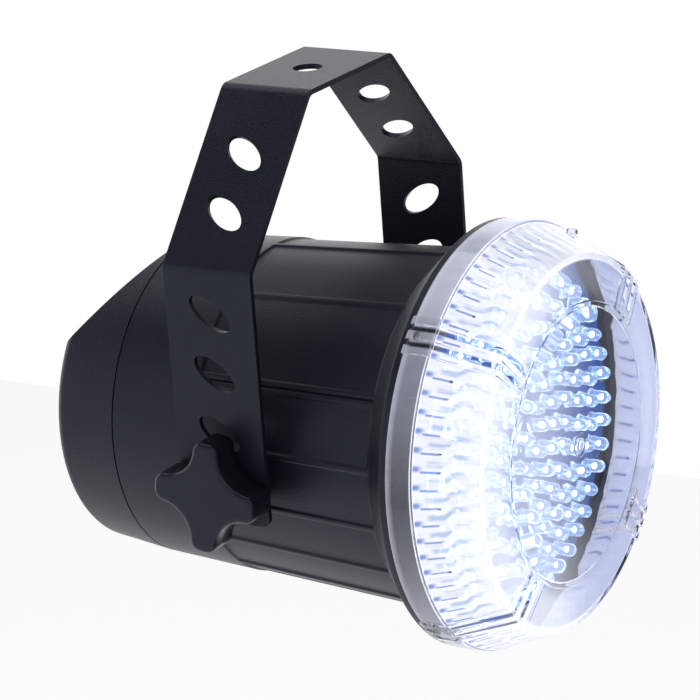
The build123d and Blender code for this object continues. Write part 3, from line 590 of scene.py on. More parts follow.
# The LED board's lit strength is its painted glow of the LEDs' light.
LED_BOARD_BLUE = SolderMask("LED board mask", colour=(0.006, 0.038, 0.16), track=(0.010, 0.055, 0.22),
                            pad=(0.10, 0.26, 0.50), lit=1.3, sheen=0.0)
DRIVER_GREEN = SolderMask("driver board mask", colour=(0.010, 0.060, 0.022), track=(0.016, 0.10, 0.036))
PAD_FIBRE = GrainedPlastic("friction fibre", colour=(0.012, 0.012, 0.012), worn=(0.03, 0.03, 0.03), rough=0.75,
                           grain=2600.0, depth=0.0002)
SEAL_RUBBER = GrainedPlastic("seal rubber", colour=(0.010, 0.010, 0.010), rough=0.62, grain=2000.0)
CHIP_EPOXY = GrainedPlastic("chip epoxy", colour=(0.008, 0.008, 0.008), rough=0.55, grain=3000.0)
SLEEVE = GrainedPlastic("capacitor sleeve", colour=(0.010, 0.018, 0.06), worn=(0.014, 0.026, 0.08), rough=0.25,
                        depth=0.00003)
TERMINAL_GREY = GrainedPlastic("terminal grey", colour=(0.34, 0.34, 0.31), worn=(0.38, 0.38, 0.35), rough=0.45)
LEAD_PVC = GrainedPlastic("wire insulation", colour=(0.16, 0.012, 0.010), worn=(0.22, 0.016, 0.014), rough=0.35,
                          depth=0.00003)
WINDING = Banded("enamelled winding", (0.42, 0.16, 0.06), (0.12, 0.03, 0.012), 0.0008, 2, 0.8, 0.3)
LAMINATION = Banded("core laminations", (0.16, 0.16, 0.165), (0.05, 0.05, 0.05), 0.0007, 1, 0.7, 0.45)
FUSE_GLASS = Plated("fuse ferrule", colour=(0.70, 0.70, 0.68), rough=0.2)
STAGE_WHITE = PaleStage("studio floor")


# Mesh helpers

def piece(name: str, mesh: bpy.types.Mesh) -> bpy.types.Object:
    """Link a mesh to the scene as an object at the origin."""
    made = bpy.data.objects.new(name, mesh)
    bpy.context.scene.collection.objects.link(made)
    return made


def outward(mesh: bpy.types.Mesh, corner: float = 30.0) -> None:
    """Turn faces outwards and smooth all but the corners.

    Args:
        mesh: A closed mesh.
        corner: Edges that turn by more than this many degrees stay sharp.
    """
    work = bmesh.new()
    work.from_mesh(mesh)
    bmesh.ops.recalc_face_normals(work, faces=work.faces)
    work.to_mesh(mesh)
    work.free()
    mesh.shade_smooth()
    mesh.set_sharp_from_angle(angle=math.radians(corner))


def copy_of(node: str, name: str) -> bpy.types.Object:
    """A merged copy of a frame node's mesh, as a piece of its own."""
    work = bmesh.new()
    work.from_mesh(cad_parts[node].data)
    bmesh.ops.remove_doubles(work, verts=work.verts, dist=2e-6)
    bmesh.ops.dissolve_limit(work, angle_limit=math.radians(0.4), verts=work.verts, edges=work.edges)
    bmesh.ops.triangulate(work, faces=[f for f in work.faces if len(f.verts) > 4])
    mesh = bpy.data.meshes.new(name)
    work.to_mesh(mesh)
    work.free()
    return piece(name, mesh)


def settled(made: bpy.types.Object) -> bpy.types.Object:
    """Turn a piece and its modifiers into a plain mesh."""
    graph = bpy.context.evaluated_depsgraph_get()
    mesh = bpy.data.meshes.new_from_object(made.evaluated_get(graph))
    old = made.data
    made.modifiers.clear()
    made.data = mesh
    bpy.data.meshes.remove(old)
    return made


def rounded(made: bpy.types.Object, width: float, corner: float = 28.0, steps: int = 2) -> bpy.types.Object:
    """Round a piece's sharp edges.

    Args:
        made: The piece.
        width: The width of the rounding, in millimetres.
        corner: Edges that turn by more than this many degrees are rounded.
        steps: Faces across the rounding.

    Returns:
        The piece as a plain mesh.
    """
    bevel = made.modifiers.new("Rounding", "BEVEL")
    bevel.width = width * MM
    bevel.segments = steps
    bevel.limit_method = "ANGLE"
    bevel.angle_limit = math.radians(corner)
    bevel.use_clamp_overlap = True
    made.data.shade_smooth()
    flat = made.modifiers.new("Flat faces", "WEIGHTED_NORMAL")
    flat.weight, flat.keep_sharp = 100, False
    return settled(made)


def grid_mesh(name: str, rows: np.ndarray, loop: bool) -> bpy.types.Mesh:
    """Mesh from rows of points that each close on themselves.

    Args:
        name: The mesh's name.
        rows: Points in millimetres, as rows by columns by three.
        loop: Whether the last row joins the first, or both end rows are closed with a face.

    Returns:
        The mesh, in metres.
    """
    count, columns = rows.shape[:2]
    faces = []
    for r in range(count if loop else count - 1):
        low, high = r * columns, ((r + 1) % count) * columns
        for c in range(columns):
            n = (c + 1) % columns
            faces.append((low + c, low + n, high + n, high + c))
    if not loop:
        faces += [tuple(range(columns)), tuple(range((count - 1) * columns, count * columns))]
    mesh = bpy.data.meshes.new(name)
    mesh.from_pydata((rows.reshape(-1, 3) * MM).tolist(), [], faces)
    return mesh


def spun(points: Points, angles: np.ndarray, centre: float) -> np.ndarray:
    """Rows of points about the barrel's axis.

    Args:
        points: (y, radius) of each row, in millimetres.
        angles: Degrees from the top towards -X, by rows and columns or alike for all rows.
        centre: The axis's height, in millimetres.

    Returns:
        Points as rows by columns by three.
    """
    table = np.broadcast_to(np.radians(angles), (len(points), np.shape(angles)[-1]))
    y = np.array([p[0] for p in points])[:, None] + 0 * table
    radius = np.array([p[1] for p in points])[:, None]
    return np.stack([-radius * np.sin(table), y, centre + radius * np.cos(table)], axis=-1)


def put(mesh: bpy.types.Mesh, name: str, values: np.ndarray) -> None:
    """Store one number a point on a mesh."""
    mesh.attributes.new(name, "FLOAT", "POINT").data.foreach_set("value", values.astype(np.float32).ravel())


def steps(low: float, high: float, count: int) -> list[float]:
    """Even steps from low up to but without high."""
    return [low + (high - low) * i / count for i in range(count)]


def joined(name: str, meshes: Iterable[bpy.types.Mesh]) -> bpy.types.Mesh:
    """One mesh that holds all the meshes."""
    work = bmesh.new()
    for mesh in meshes:
        work.from_mesh(mesh)
        bpy.data.meshes.remove(mesh)
    made = bpy.data.meshes.new(name)
    work.to_mesh(made)
    work.free()
    return made


def dress(made: bpy.types.Object, finish: Finish, body: Body, slot: str, *nodes: str) -> bpy.types.Object:
    """Give a piece its finish, its body and the nodes that it stands for.

    Args:
        made: The piece.
        finish: Its finish.
        body: The body that it rides on.
        slot: Not used.
        nodes: Frame nodes that it replaces.

    Returns:
        The piece.
    """
    made.data.materials.clear()
    made.data.materials.append(finish.material())
    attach(made, body.value)
    if nodes:
        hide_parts(*nodes)
    log.info("%s: %d faces, %s, on %s", made.name, len(made.data.polygons), finish.name, body.value)
    return made


def refinish(finish: Finish, *nodes: str) -> None:
    """Give frame nodes a finish and keep their shapes."""
    for node in nodes:
        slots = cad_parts[node].data.materials
        slots.clear()
        slots.append(finish.material())
        log.info("%s keeps its shape: %s", node, finish.name)


# Geometry Nodes

class Rule:
    """A Geometry Nodes tree with named inputs, which is run once on a piece."""

    def __init__(self, name: str) -> None:
        """Start a tree with its geometry sockets.

        Args:
            name: The tree's name.
        """
        tree = bpy.data.node_groups.new(name, "GeometryNodeTree")
        tree.interface.new_socket("Geometry", in_out="INPUT", socket_type="NodeSocketGeometry")
        tree.interface.new_socket("Geometry", in_out="OUTPUT", socket_type="NodeSocketGeometry")
        self.graph = Graph(tree)
        self.entry = self.graph.add("NodeGroupInput")
        self.keys: dict[str, str] = {}

    def start(self) -> Sock:
        """The geometry that the tree is given."""
        return Sock(self.graph, self.entry.outputs[0])

    def asked(self, name: str, kind: str = "NodeSocketFloat") -> Sock:
        """Add a named input and return its socket.

        Args:
            name: The input's name.
            kind: Its socket type.

        Returns:
            The input inside the tree.
        """
        item = self.graph.tree.interface.new_socket(name, in_out="INPUT", socket_type=kind)
        self.keys[name] = item.identifier
        return Sock(self.graph, next(s for s in self.entry.outputs if s.identifier == item.identifier))

    def named(self, attribute: str, kind: str = "FLOAT") -> Sock:
        """Read a stored attribute."""
        node = self.graph.add("GeometryNodeInputNamedAttribute", {"data_type": kind}, {"Name": attribute})
        return Sock(self.graph, next(s for s in node.outputs if s.enabled and s.name == "Attribute"))

    def position(self) -> Sock:
        """Each point's place."""
        return Sock(self.graph, self.graph.add("GeometryNodeInputPosition").outputs[0])

    def end(self, geometry: Any, finish: Finish) -> None:
        """Close the tree with real geometry and its material.

        Args:
            geometry: The socket or node that gives the result.
            finish: The finish of the result.
        """
        real = self.graph.add("GeometryNodeRealizeInstances", None, {0: geometry})
        coated = self.graph.add("GeometryNodeSetMaterial", None, {"Geometry": real, "Material": finish.material()})
        self.graph.add("NodeGroupOutput", None, {0: coated})

    def run(self, made: bpy.types.Object, **values: Any) -> bpy.types.Object:
        """Run the tree on a piece.

        Args:
            made: The piece.
            values: Inputs by name, with _ for a space.

        Returns:
            The piece as a plain mesh.
        """
        modifier = made.modifiers.new(self.graph.tree.name, "NODES")
        modifier.node_group = self.graph.tree
        for name, value in values.items():
            modifier[self.keys[name.replace("_", " ")]] = value
        return settled(made)


def relief_rule(finish: Finish) -> Rule:
    """Tree that cuts flutes and lifts bars on a body of revolution.

    Args:
        finish: The finish of the result.

    Returns:
        The rule, with inputs for the flutes' count and depth, the bars' height and the axis's height.
    """
    rule = Rule("Fluted cup")
    graph = rule.graph
    count, depth = rule.asked("Flute Count"), rule.asked("Flute Depth")
    height, level = rule.asked("Bar Height"), rule.asked("Axis Height")
    x, _, z = graph.parts(rule.position())
    turn = graph.maths("ARCTAN2", x, z - level)
    wave = graph.maths("SINE", turn * count * 0.5).absolute()
    toward = graph.vector("NORMALIZE", graph.joined(x, 0.0, z - level))
    flutes = graph.add("ShaderNodeVectorMath", {"operation": "SCALE"},
                       {0: toward, "Scale": wave * depth * rule.named("flute") * -1.0})
    normal = graph.add("GeometryNodeInputNormal")
    bars = graph.add("ShaderNodeVectorMath", {"operation": "SCALE"},
                     {0: normal, "Scale": rule.named("bar") * height})
    moved = graph.add("GeometryNodeSetPosition", None,
                      {"Geometry": rule.start(), "Offset": graph.vector("ADD", Sock(graph, flutes.outputs[0]),
                                                                        Sock(graph, bars.outputs[0]))})
    rule.end(moved, finish)
    return rule


def rib_rule(finish: Finish) -> Rule:
    """Tree that sinks the panels of a barrel and leaves its ribs.

    Args:
        finish: The finish of the result.

    Returns:
        The rule, with inputs for the recess, the ribs' half width, their edge's softness and the axis's height.
    """
    rule = Rule("Ribbed barrel")
    graph = rule.graph
    recess, half = rule.asked("Panel Recess"), rule.asked("Rib Half Width")
    soft, level = rule.asked("Edge Softness"), rule.asked("Axis Height")
    x, _, z = graph.parts(rule.position())
    away = ((rule.named("rib_distance") - half) / soft).eased(-1.0, 1.0)
    toward = graph.vector("NORMALIZE", graph.joined(x, 0.0, z - level))
    sunk = graph.add("ShaderNodeVectorMath", {"operation": "SCALE"},
                     {0: toward, "Scale": away * rule.named("panel") * recess * -1.0})
    moved = graph.add("GeometryNodeSetPosition", None,
                      {"Geometry": rule.start(), "Offset": Sock(graph, sunk.outputs[0])})
    rule.end(moved, finish)
    return rule


def copies_rule(name: str, finish: Finish) -> Rule:
    """Tree that sets a template's copies at the points of a mesh, each along its own aim.

    Args:
        name: The tree's name.
        finish: The finish of the copies.

    Returns:
        The rule, with inputs for the template, its size and its turn about the aim.
    """
    rule = Rule(name)
    graph = rule.graph
    template = rule.asked("Template", "NodeSocketObject")
    size, turn = rule.asked("Size"), rule.asked("Turn")
    shape = graph.add("GeometryNodeObjectInfo", None, {"Object": template})
    aimed = graph.add("FunctionNodeAlignRotationToVector", {"axis": "Z"},
                      {"Vector": rule.named("aim", "FLOAT_VECTOR")})
    spin = graph.add("FunctionNodeRotateRotation", {"rotation_space": "LOCAL"},
                     {0: aimed, 1: graph.joined(0.0, 0.0, turn)})
    set_out = graph.add("GeometryNodeInstanceOnPoints", None,
                        {"Points": rule.start(), "Instance": Sock(graph, shape.outputs["Geometry"]),
                         "Rotation": spin, "Scale": graph.joined(size, size, size)})
    rule.end(set_out, finish)
    return rule


def set_out(name: str, rule: Rule, template: bpy.types.Mesh, places: Sequence[Vector],
            aims: Sequence[Vector], turn: float = 0.0) -> bpy.types.Object:
    """Copies of a template at places.

    Args:
        name: The piece's name.
        rule: The copying rule.
        template: The template's mesh, in metres, along +Z.
        places: Where the copies stand, in millimetres.
        aims: The direction of each copy's +Z.
        turn: Each copy's turn about its aim, in radians.

    Returns:
        The copies as one plain piece.
    """
    mesh = bpy.data.meshes.new(name)
    mesh.from_pydata([Vector(p) * MM for p in places], [], [])
    mesh.attributes.new("aim", "FLOAT_VECTOR", "POINT").data.foreach_set("vector", np.array(aims, float).ravel())
    model = piece(f"{name}_template", template)
    made = rule.run(piece(name, mesh), Template=model, Size=1.0, Turn=turn)
    bpy.data.objects.remove(model)
    for attribute in [a.name for a in made.data.attributes if a.name == "aim"]:
        made.data.attributes.remove(made.data.attributes[attribute])
    return made


# The light's parts

@dataclass
class Bracket:
    """Bent steel strap that hangs the light."""

    edge: float = 0.3

    def build(self) -> None:
        """Make the strap with its edges rounded by the paint."""
        strap = rounded(copy_of("bracket", "bracket_strap"), self.edge)
        dress(strap, BRACKET_BLACK, Body.BRACKET, "bracket_paint", "bracket")


@dataclass
class Barrel:
    """Ribbed, tapered housing with its flare, collar and pivot bosses."""

    centre: float = -134.0
    pivot: float = -137.0
    seam_y: float = 58.5
    seam_radius: float = 62.2
    flare_y: float = -56.7
    front_radius: float = 68.3
    flange_y: float = -67.5
    lens_y: float = -70.2
    flange_radius: float = 79.7
    collar_radius: float = 77.6
    collar_y: float = -79.8
    pocket_radius: float = 72.3
    ledge_y: float = -75.7
    wall: float = 2.5
    rib_back: float = 19.8
    rib_width: float = 2.2
    rib_soft: float = 0.42
    recess: float = 0.8
    double_offset: float = 1.45
    double_angle: float = 62.6
    single_angles: tuple[float, ...] = (0.0, 30.5, 84.3, 103.5, 121.6, 140.0, 160.0)
    boss_radius: float = 13.0
    boss_face: float = 73.3

    def radius(self, y: float) -> float:
        """Radius of the tapered part at y."""
        share = (self.seam_y - y) / (self.seam_y - self.flare_y)
        return self.seam_radius + share * (self.front_radius - self.seam_radius)

    def rows(self) -> list[tuple[float, float]]:
        """(y, radius) round the whole section, outside first."""
        taper = [58.2, 50.0, 40.0, 30.0, 24.0, 21.4, 20.8, 20.4, 20.0, 19.6, 19.2, 18.8, 18.2, 14.0, 4.0, -6.0,
                 -16.0, -26.0, -36.0, -46.0, -52.0, -54.6, -55.4, -55.8, -56.2, -56.5]
        outside = [(self.seam_y, self.seam_radius - 0.3)] + [(y, self.radius(y)) for y in taper]
        rise = self.flange_radius - self.front_radius
        run = self.flange_y - self.flare_y
        flare = [(self.flare_y + run * t, self.front_radius + rise * t) for t in (0.0, 0.04, 0.3, 0.6, 0.94)]
        flange = [(self.flange_y, self.flange_radius - 0.1), (self.flange_y - 0.3, self.flange_radius),
                  (self.lens_y + 0.3, self.flange_radius), (self.lens_y, self.flange_radius - 0.3),
                  (self.lens_y, self.collar_radius), (self.collar_y + 0.4, self.collar_radius),
                  (self.collar_y, self.collar_radius - 0.4), (self.collar_y, self.pocket_radius)]
        inside = [(self.ledge_y, self.pocket_radius), (self.ledge_y, self.front_radius - self.wall),
                  (self.flare_y, self.front_radius - self.wall), (self.seam_y, self.seam_radius - self.wall)]
        return outside + flare + flange + inside

    def ribs(self) -> list[tuple[float, list[float]]]:
        """(angle, lateral places of the columns) of each rib or pair of ribs, round the barrel."""
        single = [-2.2, -1.6, -1.3, -1.1, -0.9, -0.6, 0.0, 0.6, 0.9, 1.1, 1.3, 1.6, 2.2]
        double = [-3.6, -3.0, -2.75, -2.55, -2.35, -2.0, -1.45, -0.9, -0.55, -0.35, -0.15, 0.0,
                  0.15, 0.35, 0.55, 0.9, 1.45, 2.0, 2.35, 2.55, 2.75, 3.0, 3.6]
        angles = [a for angle in self.single_angles for a in {angle, -angle}] + [180.0]
        found = [(a % 360, single) for a in angles] + [(a % 360, double) for a in (self.double_angle,
                                                                                   -self.double_angle)]
        return sorted(found)

    def columns(self, radius: float) -> tuple[list[float], list[float]]:
        """Angles of the columns at a radius, and each one's distance from the nearest rib.

        Args:
            radius: The row's radius in millimetres.

        Returns:
            The angles in degrees and the distances in millimetres.
        """
        ribs = self.ribs()
        angles: list[float] = []
        away: list[float] = []
        for index, (angle, lateral) in enumerate(ribs):
            centres = (-self.double_offset, self.double_offset) if len(lateral) > 13 else (0.0,)
            for offset in lateral:
                angles.append(angle + math.degrees(math.asin(offset / radius)))
                away.append(min(abs(offset - c) for c in centres))
            following, wide = ribs[(index + 1) % len(ribs)]
            low = angle + math.degrees(math.asin(lateral[-1] / radius))
            high = following + (360 if index == len(ribs) - 1 else 0) + math.degrees(math.asin(wide[0] / radius))
            for t in range(1, 8):
                angles.append(low + (high - low) * t / 8)
                away.append(9.0)
        return angles, away

    def boss(self, side: Side) -> bpy.types.Mesh:
        """Round boss that carries the pivot on one side."""
        turns = np.radians(np.arange(0, 360, 7.5))
        rows = []
        for x, radius in ((58.0, self.boss_radius), (self.boss_face - 0.8, self.boss_radius),
                          (self.boss_face - 0.25, self.boss_radius - 0.25), (self.boss_face, self.boss_radius - 0.8),
                          (self.boss_face, 6.0), (58.0, 6.0)):
            rows.append(np.stack([np.full_like(turns, side.value * x), radius * np.cos(turns),
                                  self.pivot + radius * np.sin(turns)], axis=-1))
        return grid_mesh("boss", np.array(rows), True)

    def build(self) -> None:
        """Make the ribbed shell with its bosses."""
        profile = self.rows()
        table = [self.columns(max(r, self.seam_radius)) for _, r in profile]
        shell = grid_mesh("barrel_shell", spun(profile, np.array([t[0] for t in table]), self.centre), True)
        ys = np.array([y for y, _ in profile])
        on_skin = np.arange(len(profile)) < 27
        start = np.clip((self.rib_back + 0.5 - ys) / 1.0, 0, 1)
        finish = np.clip((ys - self.flare_y - 0.2) / 0.9, 0, 1)
        panel = (start * start * (3 - 2 * start)) * (finish * finish * (3 - 2 * finish)) * on_skin
        put(shell, "rib_distance", np.array([t[1] for t in table]))
        put(shell, "panel", np.repeat(panel[:, None], len(table[0][0]), axis=1))
        outward(shell)
        made = rib_rule(HOUSING_BLACK).run(piece("barrel_shell", shell), Panel_Recess=self.recess * MM,
                                           Rib_Half_Width=self.rib_width / 2, Edge_Softness=self.rib_soft,
                                           Axis_Height=self.centre * MM)
        bosses = [self.boss(side) for side in Side]
        old = made.data
        made.data = joined("barrel_shell", [old.copy(), *bosses])
        bpy.data.meshes.remove(old)
        outward(made.data, 38.0)
        dress(made, HOUSING_BLACK, Body.HOUSING, "housing_plastic", "housing_barrel")


@dataclass
class RearCover:
    """Moulded cap with its slanted upper panel."""

    edge: float = 0.45

    def build(self) -> None:
        """Make the cap with softened edges."""
        cap = rounded(copy_of("rear_cover", "rear_cap"), self.edge, 24.0)
        dress(cap, HOUSING_BLACK, Body.HOUSING, "housing_plastic", "rear_cover")


@dataclass
class LensCup:
    """Clear cup: band, fluted wall, conical rim, flat disc and four strips of bars."""

    centre: float = -134.0
    back: float = -70.2
    step: float = -80.1
    rim: float = -103.4
    disc: float = -105.5
    band_radius: float = 80.0
    band_wall: float = 2.1
    wall_radius: float = 79.4
    rim_radius: float = 69.9
    disc_radius: float = 53.0
    wall: float = 2.0
    flutes: int = 72
    flute_depth: float = 0.8
    bar_width: float = 3.2
    bar_gap: float = 2.45
    bar_height: float = 0.9
    strips: tuple[float, ...] = (45.0, 135.0, 225.0, 315.0)
    tab_angle: float = -29.0

    def outside(self) -> list[tuple[float, float]]:
        """(y, radius) of the outer face, from the band's back edge to the middle of the disc."""
        slope = (self.wall_radius - self.rim_radius) / (self.step - self.rim)
        wall = [(self.step - 0.25 - d, self.wall_radius - slope * (0.25 + d)) for d in steps(0.0, 22.2, 10)]
        rim = [(-102.6, 70.20), (-103.0, 70.0), (-103.25, 69.75), (-103.4, 69.3), (-103.5, 68.7)]
        cone = [(-103.5 - 1.45 * t, 68.7 - 15.7 * t) for t in (0.12, 0.25, 0.4, 0.55, 0.7, 0.82, 0.9, 0.95, 1.0)]
        face = [(self.disc + 0.35, 52.85), (self.disc + 0.08, 52.5), (self.disc, 51.9)]
        face += [(self.disc, r) for r in (46.0, 38.0, 30.0, 22.0, 14.0, 8.0, 5.2)]
        gate = [(self.disc - 0.02, 4.6), (self.disc - 0.38, 4.3), (self.disc - 0.38, 3.7), (self.disc - 0.02, 3.4),
                (self.disc, 2.6), (self.disc - 0.02, 2.1), (self.disc - 0.30, 1.8), (self.disc - 0.34, 1.2)]
        band = [(self.back, 79.7), (self.back - 0.3, 80.0), (-73.0, 80.0), (-76.0, 80.0), (self.step + 0.35, 80.0),
                (self.step + 0.08, 79.85), (self.step, 79.6)]
        return band + wall + rim + cone + face + gate

    def inside(self) -> list[tuple[float, float]]:
        """(y, radius) of the inner face, from the band's back edge to the middle of the disc."""
        band = self.band_radius - self.band_wall
        start, stop = self.wall_radius - self.wall, self.rim_radius - self.wall
        front = self.rim + self.wall
        wall = [(self.step + (front - self.step) * t, start + (stop - start) * t)
                for t in (0.0, 0.03, 0.15, 0.3, 0.45, 0.6, 0.75, 0.9, 0.97, 1.0)]
        face = [(front, stop - 0.9), (front - 0.4, 62.0), (-102.3, 58.0), (-103.0, 51.0), (self.disc + self.wall, 50.4),
                (self.disc + self.wall, 40.0), (self.disc + self.wall, 25.0), (self.disc + self.wall, 10.0),
                (self.disc + self.wall, 2.0)]
        start_band = [(self.back, band + 0.2), (self.back - 0.3, band), (self.step + 0.3, band), (self.step, band)]
        return start_band + wall + face

    def lateral(self) -> list[float]:
        """Places of the columns across one strip of bars."""
        edge = self.bar_width / 2
        places = [-9.0]
        for centre in (-self.bar_width - self.bar_gap, 0.0, self.bar_width + self.bar_gap):
            places += [centre - edge - 0.12, centre - edge + 0.12, centre, centre + edge - 0.12, centre + edge + 0.12]
        return places + [9.0]

    def columns(self, radius: float) -> list[float]:
        """Angles of the outer face's columns at a radius."""
        reach = max(radius, self.disc_radius)
        angles: list[float] = []
        for strip in self.strips:
            angles += [strip + math.degrees(math.asin(p / reach)) for p in self.lateral()]
            edge = math.degrees(math.asin(9.0 / reach))
            angles += [strip + edge + (90.0 - 2 * edge) * t / 128 for t in range(1, 128)]
        return angles

    def bars(self, profile: Points) -> np.ndarray:
        """How far each outer point is lifted by the bars, from 0 to 1."""
        places = self.lateral()
        raised = [1.0 if i % 5 in (2, 3, 4) else 0.0 for i in range(len(places))]
        raised[0] = raised[-1] = 0.0
        bridge = [1.0 if 2 <= i <= len(places) - 3 else 0.0 for i in range(len(places))]
        table = []
        for index, (_, radius) in enumerate(profile):
            plain = radius < self.disc_radius - 0.05
            row = [0.0] * len(places) if plain else (bridge if radius < self.disc_radius + 2.6 else raised)
            table.append((row + [0.0] * 127) * 4)
        return np.array(table)

    def from_strip(self, rows: np.ndarray) -> np.ndarray:
        """Distance of each point from the middle of the nearest strip, square to the strip."""
        x, z = rows[..., 0], rows[..., 2] - self.centre
        found = np.full(x.shape, 99.0)
        for strip in np.radians(self.strips):
            ahead = -x * np.sin(strip) + z * np.cos(strip) > 0
            aside = np.abs(x * np.cos(strip) + z * np.sin(strip))
            found = np.where(ahead & (aside < found), aside, found)
        return found

    def zone(self, y: float, radius: float) -> tuple[float, float]:
        """Milky cover and painted glow level of the moulding at a place of its profile."""
        if y > self.step + 0.2:
            return 1.0, 0.5
        if radius > self.rim_radius - self.wall - 0.2:
            return 1.0, 1.0
        return (1.0, 1.0) if radius > self.disc_radius - 0.3 else (0.42, 1.4)

    def uneven(self, rows: np.ndarray) -> tuple[np.ndarray, np.ndarray, np.ndarray]:
        """Milky cover and painted glow round the cup, and how near each point is to the side that carries the painted
        glow.
        """
        radius = np.hypot(rows[..., 0], rows[..., 2] - self.centre) + 1e-6
        up = (rows[..., 2] - self.centre) / radius
        # The -X side gets the painted glow of the LEDs; near rises towards it.
        left = np.clip(0.5 - 0.5 * rows[..., 0] / self.disc_radius, 0.0, 1.0)
        plain = radius < self.disc_radius
        near = np.clip((left - np.where(plain, 0.3, 0.2)) / 0.55, 0.0, 1.0)
        near = near * near * (3.0 - 2.0 * near)
        band = rows[..., 1] > self.step + 0.2
        # On the band the milky cover, which carries the painted glow, grows towards the top and less towards the
        # bottom: painted light from above.
        on_band = 0.05 + np.where(up > 0, 0.68, 0.42) * np.abs(up) ** 1.3
        cone = ~plain & (radius < self.rim_radius - self.wall - 0.2)
        haze = np.where(band, on_band, np.where(plain, near, np.where(cone, 0.12 + 0.55 * near ** 2, 0.86)))
        return haze, np.where(band, 0.7, 1.0), near

    def tab(self) -> bpy.types.Mesh:
        """Small clear peg that stands on the wall."""
        turn = math.radians(self.tab_angle)
        radial = Vector((-math.sin(turn), 0.0, math.cos(turn)))
        across = Vector((math.cos(turn), 0.0, math.sin(turn)))
        axis = Vector((0.0, 0.0, self.centre))
        rows = []
        for lift, half_y, half_x in ((0.05, 2.0, 1.5), (1.2, 2.0, 1.5), (1.6, 1.8, 1.3), (1.8, 1.4, 0.9)):
            level = 78.1 - 2.0 * (self.wall_radius - self.rim_radius) / 23.3 + lift
            ring = []
            for k in range(16):
                a = math.tau * k / 16
                c, s = math.cos(a), math.sin(a)
                u = half_x * math.copysign(abs(c) ** 0.5, c)
                v = half_y * math.copysign(abs(s) ** 0.5, s)
                lean = -v * (self.wall_radius - self.rim_radius) / 23.3 * (0.0 if lift > 1.0 else 1.0)
                ring.append(axis + radial * (level + lean * 0.0) + across * u + Vector((0.0, -86.2 + v, 0.0)))
            rows.append([list(p) for p in ring])
        return grid_mesh("tab", np.array(rows), False)

    def build(self) -> None:
        """Make the cup as one closed shell."""
        outer_profile, inner_profile = self.outside(), self.inside()
        outer = spun(outer_profile, np.array([self.columns(r) for _, r in outer_profile]), self.centre)
        fine = 8 * self.flutes
        inner = spun(inner_profile, np.arange(fine) * 360.0 / fine, self.centre)
        bar = self.bars(outer_profile)
        mask = np.zeros(inner.shape[:2])
        mask[4:11] = np.array([0.3, 0.9, 1.0, 1.0, 0.7, 0.35, 0.12])[:, None]
        shift = round(self.columns(self.band_radius)[0] * fine / 360)
        rows = np.concatenate([outer[::-1], np.roll(inner, -shift, axis=1)])
        mesh = grid_mesh("lens_cup", rows, False)
        apart = self.from_strip(rows)
        edge, pitch = self.bar_width / 2, self.bar_width + self.bar_gap
        polished = (apart > edge + 0.1) & (apart < pitch - edge - 0.1)
        beyond = np.hypot(rows[..., 0], rows[..., 2] - self.centre) > self.disc_radius - 0.1
        zones = np.array([self.zone(y, r) for y, r in [*outer_profile[::-1], *inner_profile]])
        clear = np.where(polished & beyond, 0.06, 1.0)
        put(mesh, "bar", np.concatenate([bar[::-1], 0 * mask]))
        put(mesh, "flute", np.concatenate([0 * bar, mask]) * (apart > pitch + edge + 0.6))
        haze, glow, near = self.uneven(rows)
        # Painted light lines: milky cover at the step and along the band's back edge.
        edge_glow_line = np.array([0.0 if abs(y - self.step) > 0.1 else 0.7 for y, _ in outer_profile[::-1]])
        edge_glow_line += np.array([0.45 if y > self.back - 0.35 else 0.0 for y, _ in outer_profile[::-1]])
        haze = np.concatenate([0 * bar + edge_glow_line[:, None], (zones[:, :1] * haze)[len(outer_profile):]])
        # Store the milky cover, the painted glow's strength and the glowing side on the points.
        put(mesh, "haze", haze * clear)
        put(mesh, "lit", zones[:, 1:] * clear * glow)
        put(mesh, "near", near)
        outward(mesh)
        cup = relief_rule(LENS_CLEAR).run(piece("lens_cup", mesh), Flute_Count=float(self.flutes),
                                          Flute_Depth=self.flute_depth * MM, Bar_Height=self.bar_height * MM,
                                          Axis_Height=self.centre * MM)
        old = cup.data
        cup.data = joined("lens_cup", [old.copy(), self.tab()])
        bpy.data.meshes.remove(old)
        outward(cup.data, 19.0)
        dress(cup, LENS_CLEAR, Body.HOUSING, "lens_plastic", "lens_cover")


